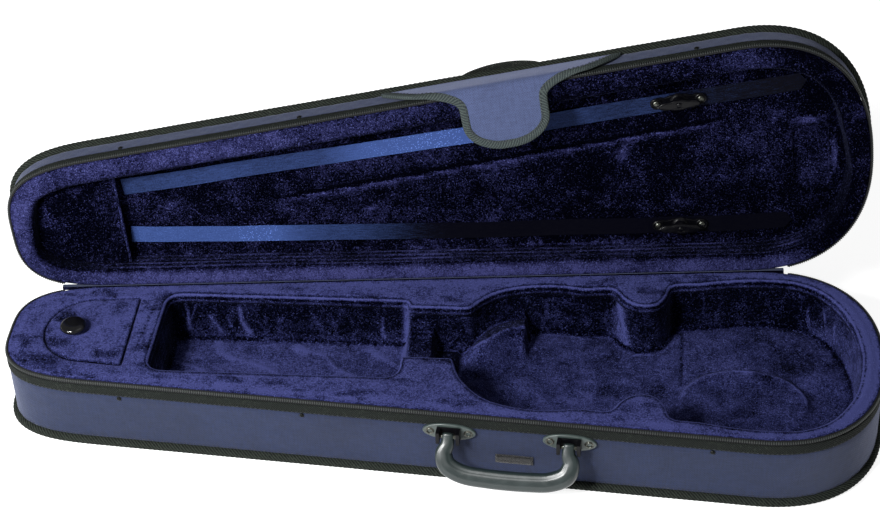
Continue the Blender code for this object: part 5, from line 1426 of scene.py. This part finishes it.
def ribbon(name, stations, node, seed, half=8.5):
    p = smooth_path(stations, 260)
    arc = np.concatenate([[0.0], np.cumsum(np.linalg.norm(np.diff(p, axis=0), axis=1))])
    d = np.gradient(p, axis=0)
    d /= np.linalg.norm(d, axis=1)[:, None]
    nor = np.stack([-d[:, 1], d[:, 0]], 1)
    length = arc[-1]
    rings, sts = [], []
    across = np.linspace(-1, 1, 11)
    for i in range(len(p)):
        a = arc[i]
        w = half * (1.0 - 0.9 * smooth01(length - 8.0, length, a) ** 1.2)
        tension = smooth01(0, 25, a) * smooth01(length, length - 14, a)
        spin = smooth01(14, 34, abs(p[i, 0] - (230 if 'upper' in name else 224)))
        lift = tension * spin * (0.5 + 0.5 * vnoise(a / 33.0, 0.0, seed) + 0.3 * across * vnoise(a / 45.0, 4.0, seed + 1))
        lift = lift + 0.22 * tension * spin * np.abs(across) ** 3
        c = p[i] + nor[i] * 0.5 * vnoise(a / 70.0, 9.0, seed)
        xy = c[None, :] + nor[i][None, :] * (across * w)[:, None]
        z1 = CEILING - 1.75 - np.clip(lift, 0.0, 1.3)
        face = np.column_stack([xy, z1])
        rear = np.column_stack([xy[::-1], z1[::-1] + 0.35])
        rings.append(np.vstack([face, rear]))
        t = (across + 1) * w
        sts.append(np.stack([np.full(22, a), np.concatenate([t, t[::-1]])], -1))
    pts, faces = loft(rings)
    X = p[:, 0]
    # painted reflection of the key light along each ribbon, in the tone attribute: bright in one band, darker towards
    # the wide end
    if 'upper' in name:
        tone = 0.44 + 0.30 * bump_fn(X - 5.0, 48.0) + 0.42 * smooth01(-118, -50, X) * smooth01(90, 30, X) - 0.14 * smooth01(120, 180, X) - 0.22 * smooth01(205, 250, X)
    else:
        tone = 0.80 + 0.36 * bump_fn(X + 176.0, 30.0) - 0.34 * smooth01(-165, -110, X) - 0.62 * smooth01(-110, 50, X)
    o = make(name, pts, faces, M_SATIN, 'lid', node=node, slot='blue_satin', lid=True, st=np.vstack(sts), smooth=80,
             tone=np.repeat(tone, 22))
    return o


ribbon('satin_upper', UPPER_BAND, 'ribbon_upper', 101)
ribbon('satin_lower', LOWER_BAND, 'ribbon_lower', 111)


# ================================================================ accessory compartment lid
def accessory():
    lp = well_outline(4.5)
    m = len(lp)
    nn = normals(lp)
    prof = [(1.6, 73.75), (0.4, 73.8), (0.0, 74.5), (0.0, 75.8), (0.35, 76.7), (1.1, 77.2), (2.4, 77.4)]
    rings = np.array([np.column_stack([lp - nn * d, np.full(m, z)]) for d, z in prof])
    p2, tri = fill([rings[-1][:, :2]], 3.0, 0.5)
    d = near(lp, p2)
    z = 77.4 + 0.35 * smooth01(2, 12, d) * (0.7 + 0.5 * fbm(p2[:, 0] / 18, p2[:, 1] / 16, 121)) - 0.35 * bump_fn(np.hypot(p2[:, 0] + 343, p2[:, 1] - 1) - 13.5, 4.0)
    z = np.minimum(z, RIM_TOP + 0.1)
    z[:m] = rings[-1][:, 2]
    q2, qtri = fill([rings[0][:, :2]], 12.0, 0.5)
    # painted light and shade on the lid: its top painted bright with darker patches, darker towards the narrow end, and
    # painted shade low on its edge, brighter up to the top
    top_painted_light = 0.80 - 0.50 * smooth01(0.0, 0.5, fbm(p2[:, 0] / 22, p2[:, 1] / 16, 158) + 0.25 * smooth01(-335, -350, p2[:, 0]))
    pts, faces, tones = [], [], []
    for p, f, t in ((np.column_stack([p2, z]), tri, top_painted_light), (*loft(rings, caps=False), np.repeat([0.2, 0.1, 0.1, 0.15, 0.3, 0.5, 0.75], m)),
                    (np.column_stack([q2, np.full(len(q2), 73.75)]), qtri, np.full(len(q2), 0.3))):
        base = sum(len(q) for q in pts)
        pts.append(np.asarray(p, float).reshape(-1, 3))
        tones.append(t)
        faces.extend(tuple(base + i for i in q) for q in f)
    o = make('accessory_lid_velvet', np.vstack(pts), faces, M_VELVET, None, slot='blue_velvet', fix=False, smooth=None,
             tone=np.concatenate(tones))
    weld(o, 60)
    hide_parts('accessory_lid')
    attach(o, 'accessory_lid')
    prof = [(7.2, 0.05), (7.2, 1.6), (7.8, 2.2), (10.0, 2.9), (11.7, 3.9), (12.4, 5.2), (12.2, 6.6), (11.2, 7.9), (9.4, 8.8), (7.0, 9.3),
            (4.0, 9.45), (1.5, 9.5)]
    p, f = turned(prof, 56)
    make('knob_gloss', p, f, M_KNOB, 'accessory_lid', node='accessory_knob', slot='black_plastic', matrix=shift(-343.0, 1.0, RIM_TOP), smooth=50)


accessory()

# ================================================================ front fittings
def bevelled(loop, z0, z1, bevel=0.6, up=1.0, crown=0.0):
    """Plate from a 2-D loop with rounded top edge. up -1 turns it over."""
    lp = np.asarray(loop, float)
    n = len(lp)
    rings = [np.column_stack([lp, np.full(n, z0)]), np.column_stack([lp, np.full(n, z1 - up * bevel)])]
    for a in (30, 60, 90):
        q = math.radians(a)
        rings.append(np.column_stack([shrink(lp, bevel * (1 - math.cos(q))), np.full(n, z1 - up * bevel * (1 - math.sin(q)))]))
    c = lp.mean(0)
    for k in (0.75, 0.4, 0.1):
        inner = shrink(lp, bevel)
        rings.append(np.column_stack([c + (inner - c) * k, np.full(n, z1 + up * crown * (1 - k * k))]))
    return loft(rings)


HANDLE_FRAME = front_frame(FITTING_X, HANDLE_Z)
for side, sign in (('left', -1.0), ('right', 1.0)):
    cu = sign * HANDLE_SPREAD
    a = 2 * math.pi * np.arange(64) / 64
    # plate with two ears: wide in the middle, round at the rivets
    w = 24.0 * np.sign(np.cos(a)) * np.abs(np.cos(a)) ** 0.92
    h = 9.0 * np.sign(np.sin(a)) * np.abs(np.sin(a)) ** 1.05
    p, f = bevelled(np.stack([cu + w, h], -1), 0.6, 2.9, 0.9)
    make('bracket_plate_' + side, p, f, M_PLATE, 'base', node='handle_bracket_' + side, slot='handle_plastic', matrix=HANDLE_FRAME, smooth=50)
    for k, du in enumerate((-17.5, 17.5)):
        # hollow-head rivet on its washer
        prof = [(4.3, 2.5), (4.3, 2.9), (3.9, 3.15), (3.5, 3.2), (3.4, 3.7), (3.0, 4.0), (2.5, 4.0), (2.1, 3.6), (1.9, 2.9), (1.7, 2.4), (0.5, 2.3)]
        p, f = turned(prof, 36)
        make('rivet_%s_%d' % (side, k + 1), p, f, M_STEEL, 'base', node='handle_rivet_%s_%d' % (side, k + 1), slot='steel_fastener',
             matrix=HANDLE_FRAME @ shift(cu + du, 0, 0), smooth=50)

# handle grip: swept section with a parting bead and a flat underside
BOW = [(-54.0, 1.6), (-54.2, -7.0), (-57.0, -16.0), (-52.5, -27.0), (-38.0, -33.5), (-18.0, -35.2), (0.0, -35.6),
       (18.0, -35.2), (38.0, -33.5), (52.5, -27.0), (57.0, -16.0), (54.2, -7.0), (54.0, 1.6)]


def grip():
    count, sides = 150, 40
    pts = smooth_path(BOW, count)
    arc = np.concatenate([[0.0], np.cumsum(np.linalg.norm(np.diff(pts, axis=0), axis=1))])
    rings, sts = [], []
    th = 2 * math.pi * np.arange(sides) / sides
    for i, p in enumerate(pts):
        a, b = pts[max(i - 1, 0)], pts[min(i + 1, count - 1)]
        d = (b - a) / np.linalg.norm(b - a)
        side = np.array([d[1], -d[0]])
        g = min(i, count - 1 - i) / ((count - 1) / 2.0)
        e = float(smooth01(0.0, 0.55, g))
        wide, deep = 5.2 + 3.4 * e, 3.1 + 2.4 * e
        c, s = np.cos(th), np.sin(th)
        u = np.sign(c) * np.abs(c) ** 0.78 * wide
        w = np.sign(s) * np.abs(s) ** 0.78 * deep
        bead = 0.32 * bump_fn((th - math.pi + math.pi) % (2 * math.pi) - 0.0, 0.14) + 0.32 * bump_fn(th - math.pi, 0.14)
        groove = 0.75 * e * bump_fn(th - math.pi / 2 - 0.55, 0.15) + 0.3 * e * bump_fn(th - math.pi / 2 + 0.45, 0.16)
        rad = 1.0 + bead / wide - groove / deep
        u, w = u * rad, w * rad
        ring_pts = np.column_stack([p[0] + side[0] * u, p[1] + side[1] * u, w])
        rings.append(ring_pts)
        sts.append(np.stack([np.full(sides, arc[i]), th * 6.0], -1))
    # rounded ends
    first, last = rings[0], rings[-1]

    def cap(r, outv):
        c = r.mean(0)
        return [c + (r - c) * k + np.array([0, outv * z, 0]) for k, z in ((0.94, 0.7), (0.78, 1.3), (0.5, 1.7), (0.15, 1.85))]
    rings = cap(first, 1.0)[::-1] + rings + cap(last, 1.0)
    p, f = loft(rings)
    m = HANDLE_FRAME @ shift(0, 0, HANDLE_OUT) @ turn(-HANDLE_TILT, 'X')
    o = make('grip_moulded', p, f, M_HANDLE, 'handle', node='handle_grip', slot='handle_plastic', matrix=m, smooth=60)
    for side, sign in (('left', -1.0), ('right', 1.0)):
        q, g2 = turned([(1.7, -10.2), (1.95, -9.9), (1.95, 9.9), (1.7, 10.2)], 24)
        make('grip_pin_' + side, q, g2, M_STEEL, 'handle', slot='steel_fastener',
             matrix=m @ shift(sign * HANDLE_SPREAD, 0, 0) @ turn(90, 'Y'), smooth=50)
    return o


grip()


def fuzzy_pad(name, u0, u1, v0, v1, w0, w1, body, node, matrix, seed, slot='hook_and_loop'):
    """Patch of pile: a woven back with uneven little tufts and frayed edges."""
    nu, nv = int((u1 - u0) / 0.9) + 1, int((v1 - v0) / 0.9) + 1
    us, vs = np.linspace(u0, u1, nu), np.linspace(v0, v1, nv)
    U, V = np.meshgrid(us, vs, indexing='ij')
    edge = np.minimum(np.minimum(U - u0, u1 - U), np.minimum(V - v0, v1 - V))
    up = 1.0 if w1 > w0 else -1.0
    W = w1 - up * 0.5 * smooth01(1.6, 0.0, edge) + up * 0.22 * fbm(U / 1.3, V / 1.3, seed)
    top = np.stack([U, V, W], -1).reshape(-1, 3)
    bot = np.stack([U, V, np.full_like(U, w0)], -1).reshape(-1, 3)
    idx = np.arange(nu * nv).reshape(nu, nv)
    q = np.stack([idx[:-1, :-1], idx[1:, :-1], idx[1:, 1:], idx[:-1, 1:]], -1).reshape(-1, 4)
    n = nu * nv
    rim = list(idx[:, 0]) + list(idx[-1, 1:]) + list(idx[-2::-1, -1]) + list(idx[0, -2:0:-1])
    faces = q.tolist() + (q[:, ::-1] + n).tolist() + [(rim[i], rim[(i + 1) % len(rim)], n + rim[(i + 1) % len(rim)], n + rim[i]) for i in range(len(rim))]
    return make(name, np.vstack([top, bot]), faces, M_HOOKS, body, node=node, slot=slot, matrix=matrix)


hook = fuzzy_pad('hook_pad', -17, 17, -4.5, 4.5, 0.05, 2.0, 'base', 'hook_patch', front_frame(FITTING_X + 4.0, 29.0), 131)

STUD_X = (-288.0, -118.0, 249.0)
stud_prof = [(2.2, -0.2), (2.3, 0.25), (2.15, 0.7), (1.7, 1.1), (1.0, 1.32), (0.3, 1.4)]
for k, x in enumerate(STUD_X):
    p, f = turned(stud_prof, 28)
    make('nail_base_%d' % (k + 1), p, f, M_NAIL, 'base', node='base_stud_%d' % (k + 1), slot='steel_fastener',
         matrix=front_frame(x, BINDING_BASE[0] - 2.8), smooth=50)
    p, f = turned(stud_prof, 28)
    make('nail_lid_%d' % (k + 1), p, f, M_NAIL, 'lid', node='lid_stud_%d' % (k + 1), slot='steel_fastener', lid=True,
         matrix=front_frame(x, R + BINDING_LID[1] + 3.2), smooth=50)


# ================================================================ closing flap
def root_half(v):
    t = max(0.0, 1.0 - v / FLAP_TOP)
    return 112.0 - 34.0 * t ** 1.25


def tongue_half(d):
    if d < 17.0:
        t = max(d, 0.0) / 17.0
        return 78.0 + (39.5 - 78.0) * math.sin(0.5 * math.pi * t) ** 0.8
    if d < 34.0:
        return 39.5 - 0.5 * (d - 17.0) / 17.0
    f = min(1.0, (d - 34.0) / (FLAP_REACH - 34.0))
    return 39.0 * max(0.0, 1.0 - f ** 1.9) ** (1.0 / 2.1)


FLAP_FRAME = front_frame(FITTING_X, R)
BEND = math.radians(OPEN_ANGLE - FLAP_FLARE)
FLAP_LEN = 27.4 + 57.6


def flap_spine(a):
    """Middle of the cloth at distance a from the seam: (height v, outward w)."""
    def raw(a):
        if a < 27.4:
            v = 27.4 - a
            w = 0.4 + (FLAP_STAND - 0.5 * FLAP_THICK - 0.4) * (1.0 - (max(v, 0.9) - 0.9) / (FLAP_TOP - 1.1)) + 0.5 * FLAP_THICK
            return np.array([v, w])
        d = a - 27.4
        return np.array([-d * math.cos(BEND), FLAP_STAND - d * math.sin(BEND)])
    ks = np.linspace(-4.0, 4.0, 9)
    wt = np.exp(-0.5 * (ks / 2.2) ** 2)
    wt /= wt.sum()
    near_bend = float(bump_fn(a - 27.4, 10.0))
    p = raw(a)
    if near_bend > 0:
        q = sum(w * raw(a + k) for k, w in zip(ks, wt))
        p = p * (1 - min(1.0, near_bend * 1.6)) + q * min(1.0, near_bend * 1.6)
    return p


def flap_half(a):
    return root_half(27.4 - a) if a < 27.4 else tongue_half(a - 27.4)


def flap_point(a, u, lift=0.0):
    """Point of the flap's outer face plus lift along its normal."""
    p = flap_spine(a)
    d = flap_spine(a + 0.4) - flap_spine(a - 0.4)
    d /= np.linalg.norm(d)
    nor = np.array([d[1], -d[0]]) if d[0] < 0 else np.array([-d[1], d[0]])
    if nor[1] < 0 and a < 27.4:
        nor = -nor
    q = p + nor * lift
    return np.array([u, q[0], q[1]])


def flap_outline():
    """Half outline in flat (a, u): down the right side to the tip."""
    out = [(a, flap_half(a)) for a in np.concatenate([np.linspace(0.0, 27.4, 16)[:-1], 27.4 + np.linspace(0.0, 34.0, 22)])]
    for f in np.linspace(0.0, math.pi / 2, 26)[1:]:
        u = 39.0 * math.cos(f)
        d = 34.0 + (FLAP_REACH - 34.0) * max(0.0, 1.0 - (u / 39.0) ** 2.1) ** (1 / 1.9)
        out.append((27.4 + min(d, 57.6), u))
    return np.array(out)


def flap():
    side = flap_outline()
    loop = np.vstack([side, np.column_stack([side[-2::-1, 0], -side[-2::-1, 1]])])
    loop = np.vstack([loop, np.column_stack([np.zeros(40), np.linspace(-112, 112, 42)[1:-1]])])
    lp = resample(soften(resample(loop, 1.0), 1.6, 1.0), 2.0)
    lp[:, 0] = np.clip(lp[:, 0], 0.3, 85.0)
    p2, tri = fill([lp], 2.6)
    m, n = len(lp), len(p2)
    d = near(lp, p2)
    slack = 0.35 * fbm(p2[:, 0] / 16, p2[:, 1] / 24, 141) * smooth01(2, 12, d)
    half = 0.5 * FLAP_THICK
    face = np.array([flap_point(a, u, half + s) for (a, u), s in zip(p2, slack)])
    rear = np.array([flap_point(a, u, -half * 0.6 + 0 * s) for (a, u), s in zip(p2, slack)])
    pts = np.vstack([face, rear])
    faces = list(tri) + [tuple(n + i for i in t[::-1]) for t in tri]
    faces += [(i, (i + 1) % m, n + (i + 1) % m, n + i) for i in range(m)]
    st = np.vstack([p2[:, ::-1], p2[:, ::-1]])
    o = make('flap_canvas', pts, faces, M_FLAP, None, node=('flap_root', 'flap_tongue'), slot='flap_canvas', lid=True,
             matrix=FLAP_FRAME, st=st, smooth=70)
    # binding folded over the edge, all the way round but the seam at the top
    rim = lp
    nn = normals(rim)
    arc = np.arange(len(rim)) * 2.0
    width = 6.6
    keep = [i for i in range(m) if rim[i, 0] > 1.2]
    # order from the top right corner round the tip to the top left corner
    start = max(keep, key=lambda i: (rim[i, 1] if rim[i, 0] < 4 else -1e9))
    order = []
    i = start
    step = 1 if rim[(start + 3) % m, 0] > rim[start, 0] else -1
    while rim[i, 0] > 1.2 and len(order) < m:
        order.append(i)
        i = (i + step) % m
    fr = np.linspace(0, len(order) - 1, len(order) * 2)
    sect = [(width, 0.55), (width * 0.8, 0.95), (width * 0.45, 1.1), (1.4, 1.05), (0.0, 0.9), (-0.75, 0.35), (-0.95, -0.4), (-0.6, -1.05),
            (0.4, -1.3), (2.5, -1.35), (width, -1.25), (width, -0.95), (0.5, -0.8), (0.0, 0.0), (0.5, 0.4)]
    rings, sts = [], []
    for g in fr:
        i0 = order[int(math.floor(g))]
        i1 = order[min(int(math.floor(g)) + 1, len(order) - 1)]
        q = g - math.floor(g)
        c = rim[i0] * (1 - q) + rim[i1] * q
        nv = nn[i0] * (1 - q) + nn[i1] * q
        nv /= np.linalg.norm(nv)
        s_here = g * 2.0
        row = []
        for j, (inw, lift) in enumerate(sect):
            rib = 0.07 * math.sin(2 * math.pi * s_here / 3.0 + inw)
            a, u = c - nv * inw
            row.append(flap_point(max(a, 0.2), u, lift * 1.0 + (half if lift > 0 else -half * 0.6) * 0.72 + rib))
        rings.append(row)
        sts.append(np.stack([np.full(len(sect), s_here), np.array([j * 1.0 for j in range(len(sect))])], -1))
    p, f = loft(np.array(rings))
    b = make('flap_binding', p, f, M_HEM, None, slot='herringbone_binding', lid=True, matrix=FLAP_FRAME, st=np.vstack(sts), smooth=60)
    # stitches just inside the binding
    cs, al, ou = [], [], []
    for g in np.arange(1.0, len(order) - 2, 1.9):
        i0 = order[int(g)]
        nv = nn[i0]
        a, u = rim[i0] - nv * (width - 1.2)
        if a < 6.0:
            continue
        tv = np.array([-nv[1], nv[0]])
        c0 = flap_point(max(a, 0.2), u, half + 1.05)
        c1 = flap_point(max(a + tv[0] * 0.5, 0.2), u + tv[1] * 0.5, half + 1.05)
        c2 = flap_point(max(a, 0.2), u, half + 2.0)
        x = (c1 - c0) / np.linalg.norm(c1 - c0)
        z = (c2 - c0) / np.linalg.norm(c2 - c0)
        cs.append(c0), al.append(x), ou.append(z)
    fm = FLAP_FRAME
    rot = np.array(fm, float)[:3, :3]
    cs = apply(fm, np.array(cs))
    t = dashes('flap_stitches', cs, np.array(al) @ rot.T, np.array(ou) @ rot.T, M_THREAD, None, lid=True, length=2.4, slot='flap_canvas')

    def world(a):
        q = apply(LID_OPEN, apply(FLAP_FRAME, [flap_point(a, 0.0)]))[0] * MM
        return tuple(q)
    for piece in (o, b, t):
        world(27.4 - 5.0)
        world(27.4 + 5.0)
        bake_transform(piece)
    return o


flap_obj = flap()

tongue_frame = LID_OPEN @ FLAP_FRAME @ shift(0, 0, FLAP_STAND) @ turn(math.degrees(BEND), 'X')
fuzzy_pad('loop_pad', -16, 16, -53, -45, -0.5 * FLAP_THICK * 0.6 - 0.1, -0.5 * FLAP_THICK - GAP - 0.8, 'flap_tongue', 'loop_patch', tongue_frame, 132)

# ================================================================ grab strap on the lid
strap_origin = front_frame(FITTING_X, TOP).to_translation()
STRAP_FRAME = LID_OPEN @ Matrix.Translation(strap_origin) @ turn(-math.degrees(TAPER), 'Z') @ shift(0, 12.0, 0)
ARCH = [(-60.0, 1.4), (-50.0, 1.4), (-41.0, 4.6), (-30.0, 13.5), (-15.0, 19.7), (0.0, 21.5), (15.0, 19.7), (30.0, 13.5),
        (41.0, 4.6), (50.0, 1.4), (60.0, 1.4)]


def strap():
    p = smooth_path(ARCH, 150)
    arc = np.concatenate([[0.0], np.cumsum(np.linalg.norm(np.diff(p, axis=0), axis=1))])
    d = np.gradient(p, axis=0)
    d /= np.linalg.norm(d, axis=1)[:, None]
    nor = np.stack([-d[:, 1], d[:, 0]], 1)
    across = np.linspace(-10, 10, 13)
    rings, sts = [], []
    for i in range(len(p)):
        e = 1 - (across / 10.0) ** 6 * 0.5
        rib = 0.06 * np.sin(2 * math.pi * arc[i] / 2.4 + np.abs(across))
        top = p[i][None, :] + nor[i][None, :] * (1.1 * e + rib)[:, None]
        bot = p[i][None, :] - nor[i][None, :] * (1.1 * e)[:, None]
        rings.append(np.vstack([np.column_stack([top[:, 0], across, top[:, 1]]), np.column_stack([bot[::-1, 0], across[::-1], bot[::-1, 1]])]))
        sts.append(np.stack([np.full(26, arc[i]), np.concatenate([across + 10, across[::-1] + 10])], -1))
    pts, faces = loft(rings)
    o = make('strap_webbing', pts, faces, M_WEB, 'lid', node='grab_strap', slot='herringbone_binding', matrix=STRAP_FRAME, st=np.vstack(sts), smooth=60)
    for k, du in enumerate((-55.0, 55.0)):
        prof = [(4.2, 2.3), (4.2, 2.9), (3.7, 3.4), (3.2, 4.0), (2.2, 4.5), (0.9, 4.7)]
        q, f = turned(prof, 32)
        make('strap_rivet_%d' % (k + 1), q, f, M_STEEL, 'lid', node='grab_strap_rivet_%d' % (k + 1), slot='steel_fastener',
             matrix=STRAP_FRAME @ shift(du, 0, 0), smooth=50)


strap()

# ================================================================ bow spinners
for tag, cx, cy, ang in (('upper', 230.0, -60.0, -2.0), ('lower', 224.0, 72.0, 4.0)):
    m = LID_OPEN @ shift(cx, cy, CEILING - 1.2) @ turn(ang, 'Z')
    a = 2 * math.pi * np.arange(72) / 72
    # base: round at the screws, waisted between them and the boss
    u = 26.0 * np.sign(np.cos(a)) * np.abs(np.cos(a)) ** 0.8
    v = 6.3 * np.sign(np.sin(a)) * np.abs(np.sin(a)) ** 0.7 * (1 - 0.22 * bump_fn(np.abs(u) - 12.5, 6.5))
    p, f = bevelled(np.stack([u, v], -1), 0.0, -2.6, 0.8, up=-1.0)
    pl = make('spinner_plate_' + tag, p, f, M_BLACK, 'lid', node='spinner_base_' + tag, slot='black_plastic', matrix=m, smooth=50)
    p, f = turned([(8.0, -2.2), (7.8, -3.0), (6.2, -3.8), (5.2, -5.4), (5.0, -7.6), (4.4, -8.2), (2.2, -8.25), (2.2, -11.9), (1.6, -12.4), (0.5, -12.5)], 36)
    make('spinner_boss_' + tag, p, f, M_BLACK, 'lid', slot='black_plastic', matrix=m, smooth=50)
    for k, du in enumerate((-20.5, 20.5)):
        # countersunk ring and the screw in it
        p, f = turned([(5.6, -2.4), (5.4, -3.3), (4.8, -3.7), (4.2, -3.5), (3.7, -2.9), (3.3, -2.75)], 36)
        make('spinner_ring_%s_%d' % (tag, k + 1), p, f, M_BLACK, 'lid', slot='black_plastic', matrix=m @ shift(du, 0, 0), smooth=50)
        p, f = turned([(3.2, -2.7), (3.2, -3.4), (2.8, -4.0), (2.0, -4.5), (1.0, -4.75), (0.4, -4.8)], 30)
        make('screw_head_%s_%d' % (tag, k + 1), p, f, M_STEEL, 'lid', node='spinner_screw_%s_%d' % (tag, k + 1), slot='steel_fastener',
             matrix=m @ shift(du, 0, 0), smooth=50)
    u = 19.0 * np.sign(np.cos(a)) * np.abs(np.cos(a)) ** 0.85
    v = 5.2 * np.sign(np.sin(a)) * np.abs(np.sin(a)) ** 0.8 * (1 - 0.16 * bump_fn(np.abs(u) - 9.0, 5.0))
    lp = np.stack([u, v], -1)
    outer = [np.column_stack([shrink(lp, s), np.full(72, z)]) for s, z in ((0.5, -8.6), (0.0, -9.1), (0.0, -10.8), (0.4, -11.5), (1.1, -11.8))]
    bore = np.stack([2.45 * np.cos(a), 2.45 * np.sin(a)], -1)
    rings = outer + [np.column_stack([lp * 0.55, np.full(72, -11.95)]), np.column_stack([bore, np.full(72, -11.7)]),
                     np.column_stack([bore, np.full(72, -8.6)])]
    p, f = loft(rings, wrap=True)
    make('paddle_' + tag, p, f, M_BLACK, 'spinner_' + tag, node='spinner_paddle_' + tag, slot='black_plastic', matrix=m, smooth=50)

plan = ring(WALL_IN, 0.0, LOOP_S[::2])[:, :2] * MM
